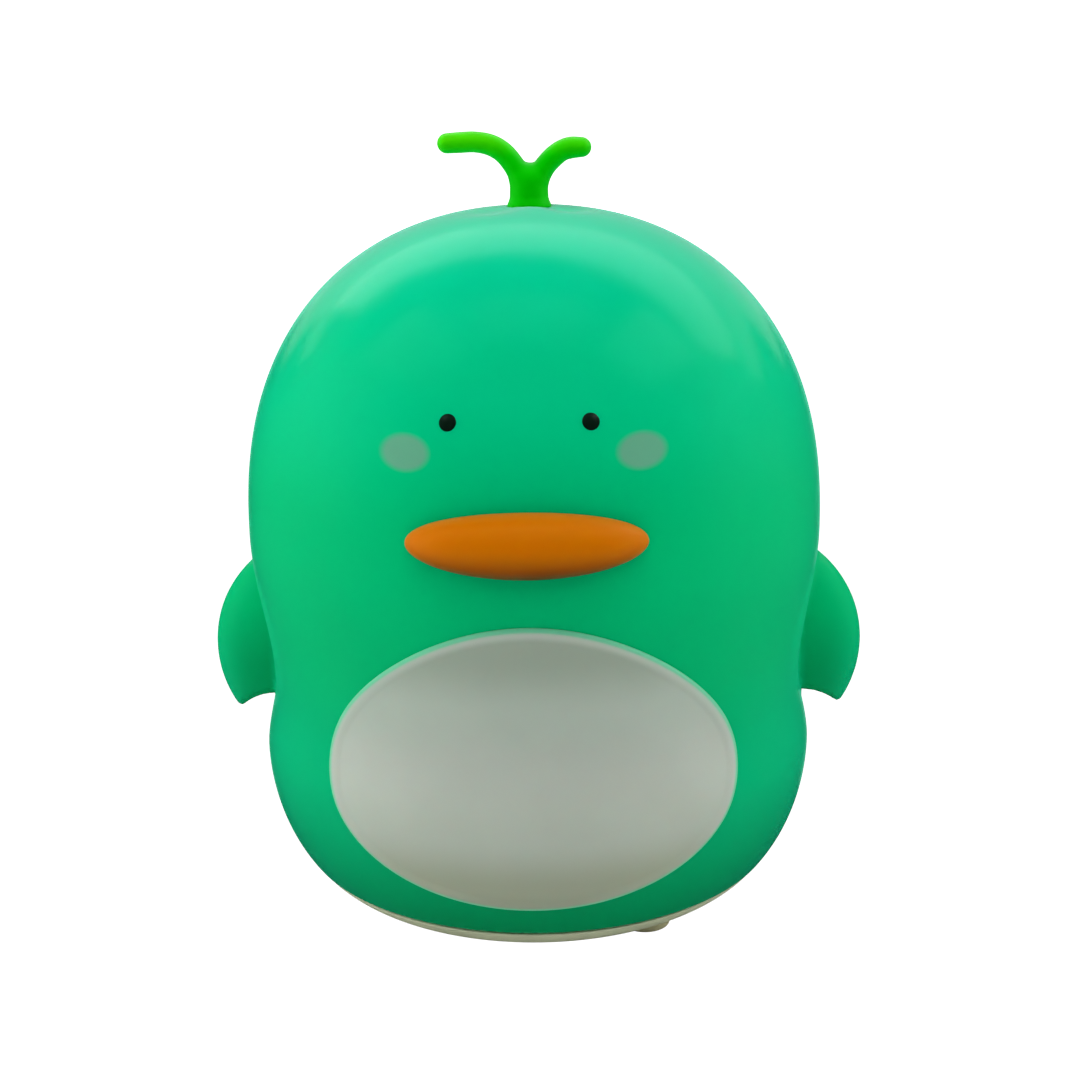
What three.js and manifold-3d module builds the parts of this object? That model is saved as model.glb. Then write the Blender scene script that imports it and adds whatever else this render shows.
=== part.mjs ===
// A soft silicone bird night light: a round green cover with a cream belly, an orange beak and a
// sprout on its head lifts off a small rechargeable base that carries the lamp.
// Millimetres, +Z up, the bird faces -Y. The feet stand on z = 0.

import * as THREE from 'three';
import { mergeVertices } from 'three/addons/utils/BufferGeometryUtils.js';
import Module from 'manifold-3d';

const wasm = await Module();
wasm.setup();

// ---- Driving dimensions ----

// The outside of the body, a round shape given by its radius at five heights.
const RIM = { z: 2, r: 34.8 };
const HIP = { z: 28, r: 50.8 };
const WAIST = { z: 41, r: 48.8 };
const HEAD = { z: 68.7, r: 52 };
const CROWN_Z = 125.6;
const HIP_POWER = 1.88;
const DOME_POWER = { height: 2.34, radius: 2.2 };

// The silicone cover.
const SKIN_FOOT_Z = 7.5;
const SKIN_WALL = 2.5;
const SKIN_MOUTH_R = 41.5;
const SKIN_COLLAR_TOP = 20;
const CROWN_BOSS = { r: 8, depth: 7 };

// Gaps between pieces that rest on or in each other, and depths of the recesses in the cover.
const GAP = 0.3;
const SNUG = 0.2;
const INLAY_DEPTH = 1.2;
const INLAY_PROUD = 0.4;

// The cream belly, an egg that is wider below.
const BELLY = { z: 38.9, halfWidth: 33.8, halfHeight: 24.95, egg: 0.18 };

// The beak, an ellipsoid bent round the body.
const BEAK = { z: 76.9, halfAngle: 0.372, halfHeight: 5.2, reach: 5.4 };

// The eyes. The pair sits a little to the bird's right of its middle.
const EYE = { left: -12, right: 10.2, z: 95.4, r: 1.65, depth: 0.8, proud: 0.3 };

// The wings: an arc on the outside that ends in a free tip.
const WING = { arcR: 22.2, arcX: 39.7, arcZ: 42.8, tipZ: 30.2, topZ: 61.5, rootX: 46, tipX: 57.2 };
const WING_DEPTH = { half: 9.5, y: 6 };
const WING_COVE_HEIGHT = 4.6;

// The sprout.
const SPROUT = { stemR: 3.4, footR: 3.6, pivotZ: 125.2, stemTop: 130.5, leafDepth: 8.4 };

// The base casing.
const FLANGE_TOP = SKIN_FOOT_Z - GAP;
const COLLAR = { r: 41.2, wall: 1.8, top: 20 };
const FLOOR = 2;
const FLOOR_SLOPE = { innerR: 33, run: 1.9, z: 5.5, top: 8 };
const DECK = { z: 20.3, thickness: 2, r: 41 };
const FEET = { count: 3, ringR: 32, firstDeg: 37, r: 4.6, seatDepth: 1.2 };
const BOSS = { r: 4.2, top: 15, bore: 1.7, counterbore: 3.2, seat: 6.9 };
const BASE_SCREW = { headR: 2.8, head: 1.7, shankR: 1.35, top: 18.6 };

// The port panel at the back.
const PANEL = { halfWidth: 16, top: 20, corner: 6, inset: 0.6, skinGap: 0.4, wall: 1.2 };
const POCKET = { halfWidth: 13, front: 25, bottom: 8.2 };
const PORT_Z = 14.1;
const USB = { x: -6.5, width: 8.94, height: 3.26, length: 7.35, wall: 0.3, front: 46, corner: 1.55 };
const USB_TONGUE = { halfWidth: 3.3, half: 0.35, rootHalfWidth: 3.7, rootHalf: 0.9, inset: 1.4 };
const BUTTON = { x: 7.5, r: 3.2, front: 46.9, back: 42.4, flange: 0.6, flangeR: 3.7 };
const PLUNGER = { r: 1.4, back: 40.8, front: 42.2 };
const LIGHT_PIPE = { x: 1.15, r: 1.1, front: 46.8, back: 42.4 };

// The boards, the lamp and the battery.
const BOARD = { z: 10.6, thickness: 1.6, front: 11, back: 41.5, halfWidth: 15, neck: 11.6 };
const LED_BOARD = { z: 24, thickness: 1.2, r: 20 };
const LEDS = { count: 6, ringR: 13.5, size: 5, height: 1.6, firstDeg: 30 };
const DOME = { z: 22.6, r: 28, height: 30, wall: 1.5, flangeR: 31, flange: 1.4 };
const CELL = { x: -0.6, y: -12.5, width: 30, length: 40, z: 5.2, height: 8 };

// A distance from the axis that lies outside everything.
const OUTSIDE = 70;

// How finely round things are faced.
const BODY_SIDES = 48;
const ROD_SIDES = 16;

// The body's axis stands behind the middle of the outline, because the beak reaches forward.
const AXIS_Y = (bodyRadius(BEAK.z) + BEAK.reach - HEAD.r) / 2;

// ---- Materials ----

function material(color, roughness, metalness = 0) {
  return new THREE.MeshStandardMaterial({ color, roughness, metalness });
}

const GREEN_SILICONE = material('#06b47a', 0.55);
const CREAM_SILICONE = material('#a4b09f', 0.6);
const ORANGE_SILICONE = material('#c77000', 0.5);
const BLACK_SILICONE = material('#06180f', 0.35);
const SPROUT_SILICONE = material('#1fc80a', 0.5);
const CREAM_PLASTIC = material('#c9cdb4', 0.45);
const WHITE_PLASTIC = material('#eceee8', 0.4);
const DIFFUSER = material('#f6f7f2', 0.35);
const FOOT_RUBBER = material('#c3c3a4', 0.8);
const STEEL = material('#b9bcc0', 0.35, 1);
const LAMINATE = material('#0f6b3c', 0.45);
const WHITE_LAMINATE = material('#eef0ee', 0.4);
const LED_CASE = material('#f2e7a0', 0.3);
const BLACK_PLASTIC = material('#1c1d1f', 0.5);
const CLEAR_PLASTIC = material('#e6ecec', 0.15);
const POUCH = material('#b4b8bb', 0.4, 0.6);
const PAD_FOAM = material('#3a3d40', 0.9);
const RED_WIRE = material('#b3201c', 0.5);
const BLACK_WIRE = material('#141414', 0.5);

// ---- Solids ----

// A solid from a closed geometry: its corners are shared and its flat-edged slivers left out.
function solidOf(geometry) {
  const bare = new THREE.BufferGeometry();
  bare.setAttribute('position', geometry.attributes.position);
  bare.setIndex(geometry.index);
  const merged = mergeVertices(bare, 1e-4);
  const corners = merged.index.array;
  const kept = [];
  for (let i = 0; i < corners.length; i += 3) {
    const [a, b, c] = [corners[i], corners[i + 1], corners[i + 2]];
    if (a !== b && b !== c && c !== a) kept.push(a, b, c);
  }
  return new wasm.Manifold(new wasm.Mesh({
    numProp: 3,
    vertProperties: new Float32Array(merged.attributes.position.array),
    triVerts: new Uint32Array(kept),
  }));
}

function geometryOf(solid) {
  const mesh = solid.getMesh();
  const geometry = new THREE.BufferGeometry();
  geometry.setAttribute('position', new THREE.BufferAttribute(mesh.vertProperties, mesh.numProp));
  geometry.setIndex(new THREE.BufferAttribute(mesh.triVerts, 1));
  geometry.computeVertexNormals();
  return geometry;
}

function joined(...solids) {
  return solids.reduce((sum, solid) => sum.add(solid));
}

function cut(solid, ...tools) {
  return tools.reduce((rest, tool) => rest.subtract(tool), solid);
}

// A profile of [r, z] points, in order up the outside and back to the axis, turned about Z.
function turned(profile, sides = BODY_SIDES) {
  const points = profile.map(([r, z]) => new THREE.Vector2(r, z));
  return solidOf(new THREE.LatheGeometry(points, sides).rotateX(Math.PI / 2));
}

function rodZ(r, z0, z1, x = 0, y = 0, sides = ROD_SIDES) {
  const rod = new THREE.CylinderGeometry(r, r, z1 - z0, sides).rotateX(Math.PI / 2);
  return solidOf(rod.translate(x, y, (z0 + z1) / 2));
}

function rodY(r, y0, y1, x, z, sides = ROD_SIDES) {
  const rod = new THREE.CylinderGeometry(r, r, y1 - y0, sides);
  return solidOf(rod.translate(x, (y0 + y1) / 2, z));
}

function block(x0, x1, y0, y1, z0, z1) {
  const box = new THREE.BoxGeometry(x1 - x0, y1 - y0, z1 - z0);
  return solidOf(box.translate((x0 + x1) / 2, (y0 + y1) / 2, (z0 + z1) / 2));
}

// A rounded rectangle, about the origin unless its middle is given.
function roundedRect(width, height, radius, x = 0, y = 0) {
  const [w, h, r] = [width / 2, height / 2, radius];
  const shape = new THREE.Shape();
  shape.absarc(x + w - r, y - h + r, r, -Math.PI / 2, 0);
  shape.absarc(x + w - r, y + h - r, r, 0, Math.PI / 2);
  shape.absarc(x - w + r, y + h - r, r, Math.PI / 2, Math.PI);
  shape.absarc(x - w + r, y - h + r, r, Math.PI, 1.5 * Math.PI);
  shape.closePath();
  return shape;
}

// An outline in X and Y, raised from z0 to z1.
function raised(shape, z0, z1, curveSegments = 5) {
  const options = { depth: z1 - z0, bevelEnabled: false, curveSegments };
  return solidOf(new THREE.ExtrudeGeometry(shape, options).translate(0, 0, z0));
}

// An outline in X and Z, run from y0 to y1.
function runAlongY(shape, y0, y1, curveSegments = 5) {
  const options = { depth: y1 - y0, bevelEnabled: false, curveSegments };
  const geometry = new THREE.ExtrudeGeometry(shape, options).rotateX(Math.PI / 2);
  return solidOf(geometry.translate(0, y1, 0));
}

// A closed surface that a function of two angles gives: place(0, 0) is the first pole, and around
// runs anticlockwise as that pole sees it.
function globe(place, rings, sides) {
  const positions = [];
  const index = [];
  positions.push(...place(0, 0));
  for (let i = 1; i < rings; i += 1) {
    for (let j = 0; j < sides; j += 1) {
      positions.push(...place(Math.PI * i / rings, 2 * Math.PI * j / sides));
    }
  }
  positions.push(...place(Math.PI, 0));
  const last = (rings - 1) * sides + 1;
  const corner = (i, j) => 1 + (i - 1) * sides + (j % sides);
  for (let j = 0; j < sides; j += 1) {
    index.push(0, corner(1, j), corner(1, j + 1));
    index.push(last, corner(rings - 1, j + 1), corner(rings - 1, j));
    for (let i = 1; i < rings - 1; i += 1) {
      index.push(corner(i, j), corner(i + 1, j), corner(i + 1, j + 1));
      index.push(corner(i, j), corner(i + 1, j + 1), corner(i, j + 1));
    }
  }
  const geometry = new THREE.BufferGeometry();
  geometry.setAttribute('position', new THREE.Float32BufferAttribute(positions, 3));
  geometry.setIndex(index);
  return solidOf(geometry);
}

// A tube along a curve.
function tube(points, r, steps = 9, sides = 8) {
  const section = new THREE.Shape();
  for (let i = 0; i < sides; i += 1) {
    const angle = 2 * Math.PI * i / sides;
    const [x, y] = [r * Math.cos(angle), r * Math.sin(angle)];
    if (i === 0) section.moveTo(x, y);
    else section.lineTo(x, y);
  }
  section.closePath();
  const path = new THREE.CatmullRomCurve3(points.map(([x, y, z]) => new THREE.Vector3(x, y, z)));
  return new THREE.ExtrudeGeometry(section, { steps, extrudePath: path, curveSegments: 1 });
}

// A pan-head screw pointing down -Z or up +Z, its cross cut in the head.
function screw(x, y, seatZ, direction, headR, head, shankR, length) {
  const [h0, h1] = direction > 0 ? [seatZ - head, seatZ] : [seatZ, seatZ + head];
  const [s0, s1] = direction > 0 ? [seatZ, seatZ + length] : [seatZ - length, seatZ];
  const overlap = 0.05 * direction;
  const body = joined(
    rodZ(headR, h0, h1, x, y, 14),
    rodZ(shankR, Math.min(s0, s0 - overlap), Math.max(s1, s1 - overlap), x, y, 10),
  );
  const [arm, half, depth] = [headR * 0.6, headR * 0.13, head * 0.5];
  const [c0, c1] = direction > 0 ? [h0 - 1, h0 + depth] : [h1 - depth, h1 + 1];
  return cut(
    body,
    block(x - arm, x + arm, y - half, y + half, c0, c1),
    block(x - half, x + half, y - arm, y + arm, c0, c1),
  );
}

// ---- The body's outside ----

// Points [r, z] of the outside from the rim to the crown, moved out by grow along the surface.
function bodyProfile(grow = 0) {
  const eased = (t) => t * t * (3 - 2 * t);
  const points = [];
  const steps = { belly: 7, waist: 3, head: 3, dome: 11 };
  for (let i = 0; i <= steps.belly; i += 1) {
    const s = 1 - Math.cos(Math.PI / 2 * i / steps.belly);
    const bulge = (1 - (1 - s) ** HIP_POWER) ** (1 / HIP_POWER);
    points.push([RIM.r + (HIP.r - RIM.r) * bulge, RIM.z + (HIP.z - RIM.z) * s]);
  }
  for (let i = 1; i <= steps.waist; i += 1) {
    const t = i / steps.waist;
    points.push([HIP.r + (WAIST.r - HIP.r) * eased(t), HIP.z + (WAIST.z - HIP.z) * t]);
  }
  for (let i = 1; i <= steps.head; i += 1) {
    const t = i / steps.head;
    points.push([WAIST.r + (HEAD.r - WAIST.r) * eased(t), WAIST.z + (HEAD.z - WAIST.z) * t]);
  }
  for (let i = 1; i <= steps.dome; i += 1) {
    const s = Math.sin(Math.PI / 2 * i / steps.dome);
    const r = i === steps.dome ? 0 : HEAD.r * (1 - s ** DOME_POWER.height) ** (1 / DOME_POWER.radius);
    points.push([r, HEAD.z + (CROWN_Z - HEAD.z) * s]);
  }
  return points.map(([r, z], i) => {
    const before = points[Math.max(i - 1, 0)];
    const after = points[Math.min(i + 1, points.length - 1)];
    const run = Math.hypot(after[0] - before[0], after[1] - before[1]);
    const onAxis = i === points.length - 1;
    const [nr, nz] = onAxis ? [0, 1] : [(after[1] - before[1]) / run, (before[0] - after[0]) / run];
    return [Math.max(r + nr * grow, 0), z + nz * grow];
  });
}

// The radius of the outside at a height.
function bodyRadius(z) {
  const points = bodyProfile();
  const i = points.findIndex((point) => point[1] >= z);
  const [[r0, z0], [r1, z1]] = [points[Math.max(i - 1, 0)], points[Math.max(i, 1)]];
  return r0 + (r1 - r0) * (z - z0) / (z1 - z0);
}

// The whole body as a solid, grown or shrunk.
function bodySolid(grow = 0) {
  const outside = bodyProfile(grow);
  return turned([[0, outside[0][1]], ...outside]);
}

// ---- The cover ----

// The space inside the cover: a straight mouth, then a chamber one wall thinner than the outside.
function coverInside() {
  const chamber = bodyProfile(-SKIN_WALL);
  const bossZ = CROWN_Z - CROWN_BOSS.depth;
  const sides = chamber.filter(([r, z]) => z > SKIN_COLLAR_TOP + SKIN_WALL && z < bossZ);
  return turned([
    [0, -1],
    [SKIN_MOUTH_R, -1],
    [SKIN_MOUTH_R, SKIN_COLLAR_TOP],
    ...sides.filter(([r]) => r > CROWN_BOSS.r * 2),
    [CROWN_BOSS.r * 2, bossZ],
    [0, bossZ],
  ]);
}

// One wing, side -1 or 1: level sections between an outer arc and a root inside the cover.
function wing(side) {
  const middle = (WING.topZ + WING.tipZ) / 2;
  const half = (WING.topZ - WING.tipZ) / 2;
  return globe((polar, around) => {
    const z = middle + half * Math.cos(polar);
    const outer = WING.arcX + Math.sqrt(WING.arcR ** 2 - (z - WING.arcZ) ** 2);
    const lift = Math.min((z - WING.tipZ) / WING_COVE_HEIGHT, 1);
    const inner = WING.tipX + (WING.rootX - WING.tipX) * lift;
    const girth = Math.sin(polar);
    const x = (outer + inner) / 2 + (outer - inner) / 2 * Math.cos(around) * Math.min(girth * 2, 1);
    const y = WING_DEPTH.y + WING_DEPTH.half * Math.sqrt(girth) * Math.sin(around) * side;
    return [side * x, y, z];
  }, 11, 16);
}

// The belly's outline from the front, grown all round.
function bellyOutline(grow) {
  const shape = new THREE.Shape();
  const steps = 40;
  for (let i = 0; i < steps; i += 1) {
    const angle = 2 * Math.PI * i / steps;
    const rise = Math.sin(angle);
    const x = (BELLY.halfWidth + grow) * Math.cos(angle) * (1 - BELLY.egg * rise);
    const z = (BELLY.halfHeight + grow) * rise + BELLY.z;
    if (i === 0) shape.moveTo(x, z);
    else shape.lineTo(x, z);
  }
  shape.closePath();
  return runAlongY(shape, -HEAD.r - 10, -10);
}

function bellyPatch() {
  return cut(bellyOutline(0).intersect(bodySolid(INLAY_PROUD)), bodySolid(GAP - INLAY_DEPTH));
}

// The beak's whole shape, let into the cover and grown by grow.
function beakBody(grow) {
  const middleR = bodyRadius(BEAK.z);
  return globe((polar, around) => {
    const angle = -(BEAK.halfAngle + grow / middleR) * Math.cos(polar);
    const z = BEAK.z + (BEAK.halfHeight + grow) * Math.sin(polar) * Math.sin(around);
    const r = middleR + (BEAK.reach + grow) * Math.sin(polar) * Math.cos(around);
    return [r * Math.sin(angle), -r * Math.cos(angle), z];
  }, 14, 16);
}

function beak() {
  return cut(beakBody(0), bodySolid(GAP - INLAY_DEPTH));
}

// An eye is a flat bead whose middle lies just under the surface.
function eye(x, grow = 0) {
  const bead = new THREE.SphereGeometry(1, 14, 8).rotateX(Math.PI / 2);
  bead.scale(EYE.r + grow, EYE.r + grow, EYE.depth + grow);
  const r = bodyRadius(EYE.z);
  const slope = (bodyRadius(EYE.z - 1) - bodyRadius(EYE.z + 1)) / 2;
  const y = -Math.sqrt(r * r - x * x);
  const outward = new THREE.Vector3(x / r, y / r, slope).normalize();
  bead.applyQuaternion(new THREE.Quaternion().setFromUnitVectors(new THREE.Vector3(0, 0, 1), outward));
  const middle = new THREE.Vector3(x, y, EYE.z).addScaledVector(outward, EYE.proud - EYE.depth);
  return solidOf(bead.translate(middle.x, middle.y, middle.z));
}

// The U-shaped outline of the port panel, open downward when it is cut from the cover.
function panelOutline(grow, bottom) {
  const [w, r] = [PANEL.halfWidth + grow, PANEL.corner + grow];
  const top = PANEL.top + grow;
  const shape = new THREE.Shape();
  shape.moveTo(-w, bottom);
  shape.lineTo(w, bottom);
  shape.absarc(w - r, top - r, r, 0, Math.PI / 2);
  shape.absarc(-w + r, top - r, r, Math.PI / 2, Math.PI);
  shape.closePath();
  return shape;
}

function bodySkin() {
  const outside = joined(bodySolid(), wing(-1), wing(1));
  const below = block(-OUTSIDE, OUTSIDE, -OUTSIDE, OUTSIDE, -5, SKIN_FOOT_Z);
  const notch = runAlongY(panelOutline(PANEL.skinGap, SKIN_FOOT_Z - 5), 20, OUTSIDE);
  const bellySeat = cut(bellyOutline(GAP), bodySolid(-INLAY_DEPTH));
  const beakSeat = cut(beakBody(GAP), bodySolid(-INLAY_DEPTH));
  const socket = new THREE.SphereGeometry(SPROUT.footR + GAP, 20, 12).rotateX(Math.PI / 2);
  return cut(
    outside,
    coverInside(),
    below,
    notch,
    bellySeat,
    beakSeat,
    eye(EYE.left, GAP),
    eye(EYE.right, GAP),
    solidOf(socket.translate(0, 0, SPROUT.pivotZ)),
  );
}

// ---- The sprout ----

// The two leaves from the front, z counted from the crown: a long left one and a short right one.
function leavesOutline() {
  const shape = new THREE.Shape();
  const leafRoot = 3;
  shape.moveTo(-SPROUT.stemR, leafRoot);
  shape.bezierCurveTo(-3.6, 6, -6.2, 8.9, -10.6, 9);
  shape.lineTo(-14.6, 9);
  shape.bezierCurveTo(-16.7, 9.1, -16.6, 11.5, -15, 11.9);
  shape.bezierCurveTo(-13, 12.5, -9.8, 12.8, -8, 12.3);
  shape.bezierCurveTo(-4.8, 11.5, -3.2, 8.4, -0.4, 7.1);
  shape.bezierCurveTo(1.6, 8.4, 3.6, 11.5, 8.2, 11.55);
  shape.bezierCurveTo(11.4, 11.6, 11.4, 9, 9.2, 8.15);
  shape.bezierCurveTo(6.6, 7.7, SPROUT.stemR, 5.4, SPROUT.stemR, leafRoot);
  shape.closePath();
  return shape;
}

// The leaves from above: each a rounded blade, and the stem's width between them.
function leavesPlan() {
  const half = SPROUT.leafDepth / 2;
  const shape = new THREE.Shape();
  shape.moveTo(-16.6, 0);
  shape.bezierCurveTo(-16.4, -half, -11, -half * 1.2, -7, -half * 0.9);
  shape.bezierCurveTo(-4, -SPROUT.stemR, 1.5, -SPROUT.stemR, 3.5, -half * 0.85);
  shape.bezierCurveTo(7, -half * 1.1, 11, -half, 11.2, 0);
  shape.bezierCurveTo(11, half, 7, half * 1.1, 3.5, half * 0.85);
  shape.bezierCurveTo(1.5, SPROUT.stemR, -4, SPROUT.stemR, -7, half * 0.9);
  shape.bezierCurveTo(-11, half * 1.2, -16.4, half, -16.6, 0);
  return shape;
}

// One soft moulding: a ball foot, a stem and two leaves.
function sprout() {
  const leaves = runAlongY(leavesOutline(), -SPROUT.leafDepth, SPROUT.leafDepth).translate([0, 0, CROWN_Z]);
  const foot = new THREE.SphereGeometry(SPROUT.footR, 20, 12).rotateX(Math.PI / 2);
  return joined(
    leaves.intersect(raised(leavesPlan(), CROWN_Z, CROWN_Z + 20, 8)),
    rodZ(SPROUT.stemR, SPROUT.pivotZ, SPROUT.stemTop, 0, 0, 20),
    solidOf(foot.translate(0, 0, SPROUT.pivotZ)),
  );
}

// ---- The base casing ----

// The middle of each foot, and of the screw above it. The first is right of the front.
function footPlaces() {
  return Array.from({ length: FEET.count }, (_, i) => {
    const angle = THREE.MathUtils.degToRad(FEET.firstDeg + 360 * i / FEET.count);
    return [FEET.ringR * Math.sin(angle), -FEET.ringR * Math.cos(angle)];
  });
}

const BOARD_SCREWS = [[-12, 13.5], [12, 13.5]];
const BOARD_SCREW = { headR: 1.8, head: 1.2, shankR: 0.9, length: 5.5, postR: 2.6, hole: 1.15 };
const LED_SCREWS = [[-16, 0], [16, 0]];
const LED_SCREW = { headR: 2, head: 1.3, shankR: 1, length: 4.4, postR: 2.8, hole: 1.25 };

// The bottom casing: floor, flange that shows under the cover, collar, bosses and port panel.
function basePan() {
  const innerR = COLLAR.r - COLLAR.wall;
  const floorTop = RIM.z + FLOOR;
  const slopeR = innerR - FLOOR_SLOPE.run;
  const flange = bodyProfile().filter(([, z]) => z < FLANGE_TOP - 0.2);
  const shell = turned([
    [0, RIM.z],
    ...flange,
    [bodyRadius(FLANGE_TOP), FLANGE_TOP],
    [COLLAR.r, FLANGE_TOP],
    [COLLAR.r, COLLAR.top],
    [innerR, COLLAR.top],
    [innerR, FLOOR_SLOPE.top],
    [slopeR, FLOOR_SLOPE.z],
    [FLOOR_SLOPE.innerR, floorTop],
    [0, floorTop],
  ]);
  const room = turned([
    [0, FLOOR_SLOPE.z],
    [slopeR, FLOOR_SLOPE.z],
    [innerR, FLOOR_SLOPE.top],
    [innerR, COLLAR.top + 10],
    [0, COLLAR.top + 10],
  ]);
  const panelShape = runAlongY(panelOutline(0, RIM.z + 3), POCKET.front, OUTSIDE);
  const face = panelShape.intersect(bodySolid(-PANEL.inset));
  const { halfWidth, front, bottom } = POCKET;
  const pocketBox = block(-halfWidth, halfWidth, front, OUTSIDE, bottom, PANEL.top - PANEL.wall);
  const pocket = pocketBox.intersect(bodySolid(-PANEL.inset - PANEL.wall));
  const usbHole = roundedRect(USB.width + 2 * GAP, USB.height + 2 * GAP, USB.corner + GAP, USB.x, PORT_Z);
  let pan = joined(shell, cut(face, room));
  pan = cut(
    pan,
    pocket,
    runAlongY(usbHole, 35, OUTSIDE),
    rodY(BUTTON.r + SNUG, 35, OUTSIDE, BUTTON.x, PORT_Z, 20),
    rodY(LIGHT_PIPE.r + SNUG, 35, OUTSIDE, LIGHT_PIPE.x, PORT_Z),
  );
  for (const [x, y] of footPlaces()) {
    pan = pan.add(rodZ(BOSS.r, floorTop - 1, BOSS.top, x, y));
  }
  for (const [x, y] of BOARD_SCREWS) {
    pan = pan.add(rodZ(BOARD_SCREW.postR, floorTop - 1, BOARD.z - GAP, x, y));
    pan = pan.subtract(rodZ(BOARD_SCREW.hole, floorTop + 1.5, BOARD.z, x, y, 12));
  }
  for (const [x, y] of footPlaces()) {
    pan = cut(
      pan,
      rodZ(FEET.r + GAP, 0, RIM.z + FEET.seatDepth, x, y, 20),
      rodZ(BOSS.counterbore, 0, BOSS.seat, x, y),
      rodZ(BOSS.bore, 0, BOSS.top + 1, x, y, 16),
    );
  }
  return pan;
}

// A round foot with a stub that plugs the screw's hole.
function foot(x, y) {
  const top = RIM.z + FEET.seatDepth - GAP;
  const stubR = BOSS.counterbore - SNUG;
  const stubTop = BOSS.seat - BASE_SCREW.head - GAP - 0.2;
  return turned([
    [0, 0],
    [FEET.r - 0.8, 0],
    [FEET.r - 0.2, 0.3],
    [FEET.r, 0.9],
    [FEET.r, top],
    [stubR, top],
    [stubR, stubTop],
    [0, stubTop],
  ], 20).translate([x, y, 0]);
}

function baseScrew(x, y) {
  const seat = BOSS.seat - SNUG;
  const { headR, head, shankR, top } = BASE_SCREW;
  return screw(x, y, seat, 1, headR, head, shankR, top - seat);
}

// The upper casing: a deck that closes the pan, with the posts that take the screws.
const LED_LEAD_HOLE = { x: 4, y: 17, r: 1.9 };

function deck() {
  const under = DECK.z;
  const top = DECK.z + DECK.thickness;
  const ringOuter = COLLAR.r - COLLAR.wall - GAP;
  const ringInner = ringOuter - 1.5;
  let plate = turned([
    [0, under],
    [ringInner, under],
    [ringInner, under - 1.6],
    [ringOuter, under - 1.6],
    [ringOuter, under],
    [DECK.r, under],
    [DECK.r, top - 0.5],
    [DECK.r - 0.5, top],
    [0, top],
  ]);
  for (const [x, y] of footPlaces()) {
    plate = plate.add(rodZ(3.2, BOSS.top + GAP, under + 0.5, x, y));
  }
  for (const [x, y] of LED_SCREWS) {
    plate = plate.add(rodZ(LED_SCREW.postR, top - 0.5, LED_BOARD.z - GAP, x, y));
    plate = plate.subtract(rodZ(LED_SCREW.hole, under - 1, LED_BOARD.z, x, y, 12));
  }
  for (const [x, y] of footPlaces()) {
    plate = plate.subtract(rodZ(BASE_SCREW.shankR + SNUG, 10, BASE_SCREW.top + SNUG, x, y, 16));
  }
  return plate.subtract(rodZ(LED_LEAD_HOLE.r, under - 1, top + 1, LED_LEAD_HOLE.x, LED_LEAD_HOLE.y));
}

// ---- The lamp ----

// A thin white dome that spreads the light, with a flange that stands on the deck.
function diffuserDome() {
  const arc = (r, rise, steps) => Array.from({ length: steps + 1 }, (_, i) => {
    const angle = Math.PI / 2 * i / steps;
    return [i === steps ? 0 : r * Math.cos(angle) ** 0.8, DOME.z + DOME.flange + rise * Math.sin(angle)];
  });
  const inner = arc(DOME.r - DOME.wall, DOME.height - DOME.wall, 7).reverse();
  return turned([
    ...inner,
    [DOME.r - DOME.wall, DOME.z],
    [DOME.flangeR, DOME.z],
    [DOME.flangeR, DOME.z + DOME.flange],
    ...arc(DOME.r, DOME.height, 7),
  ], 36);
}

function ledBoard() {
  const top = LED_BOARD.z + LED_BOARD.thickness;
  const holes = LED_SCREWS.map(([x, y]) => rodZ(LED_SCREW.hole, 20, 30, x, y, 12));
  return cut(rodZ(LED_BOARD.r, LED_BOARD.z, top, 0, 0, 36), ...holes);
}

// A square lamp with a shallow dish in its top.
function led(index) {
  const angle = THREE.MathUtils.degToRad(LEDS.firstDeg + 360 * index / LEDS.count);
  const [x, y] = [LEDS.ringR * Math.cos(angle), LEDS.ringR * Math.sin(angle)];
  const bottom = LED_BOARD.z + LED_BOARD.thickness + SNUG;
  const half = LEDS.size / 2;
  const top = bottom + LEDS.height;
  return cut(
    block(x - half, x + half, y - half, y + half, bottom, top),
    rodZ(half * 0.8, top - 0.5, top + 1, x, y, 12),
  );
}

// ---- The electronics ----

const BOARD_TOP = BOARD.z + BOARD.thickness;
const PART_Z = BOARD_TOP + SNUG;

// The main board: wide in front, narrower where it enters the port panel, cut round a boss.
function mainBoard() {
  const { front, back, halfWidth, neck, z } = BOARD;
  const neckY = 30;
  const outline = new THREE.Shape();
  outline.moveTo(-halfWidth, front);
  outline.lineTo(halfWidth, front);
  outline.lineTo(halfWidth, neckY);
  outline.lineTo(neck, neckY + 2);
  outline.lineTo(neck, back);
  outline.lineTo(-neck, back);
  outline.lineTo(-neck, neckY + 2);
  outline.lineTo(-halfWidth, neckY);
  outline.closePath();
  let board = raised(outline, z, BOARD_TOP);
  for (const [x, y] of footPlaces()) {
    board = board.subtract(rodZ(BOSS.r + 0.5, z - 1, z + 3, x, y));
  }
  for (const [x, y] of BOARD_SCREWS) {
    board = board.subtract(rodZ(BOARD_SCREW.hole, z - 1, z + 3, x, y, 12));
  }
  return board;
}

function usbShell() {
  const { x, width, height, length, wall, front, corner } = USB;
  const back = front - length;
  const outer = runAlongY(roundedRect(width, height, corner, x, PORT_Z), back, front);
  const hollow = roundedRect(width - 2 * wall, height - 2 * wall, corner - wall, x, PORT_Z);
  return cut(outer, runAlongY(hollow, back + wall, front + 1));
}

function usbTongue() {
  const { x, front, length, wall } = USB;
  const { halfWidth, half, rootHalfWidth, rootHalf, inset } = USB_TONGUE;
  const back = front - length + wall + SNUG;
  return joined(
    block(x - halfWidth, x + halfWidth, back, front - inset, PORT_Z - half, PORT_Z + half),
    block(x - rootHalfWidth, x + rootHalfWidth, back, back + 1, PORT_Z - rootHalf, PORT_Z + rootHalf),
  );
}

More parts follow.
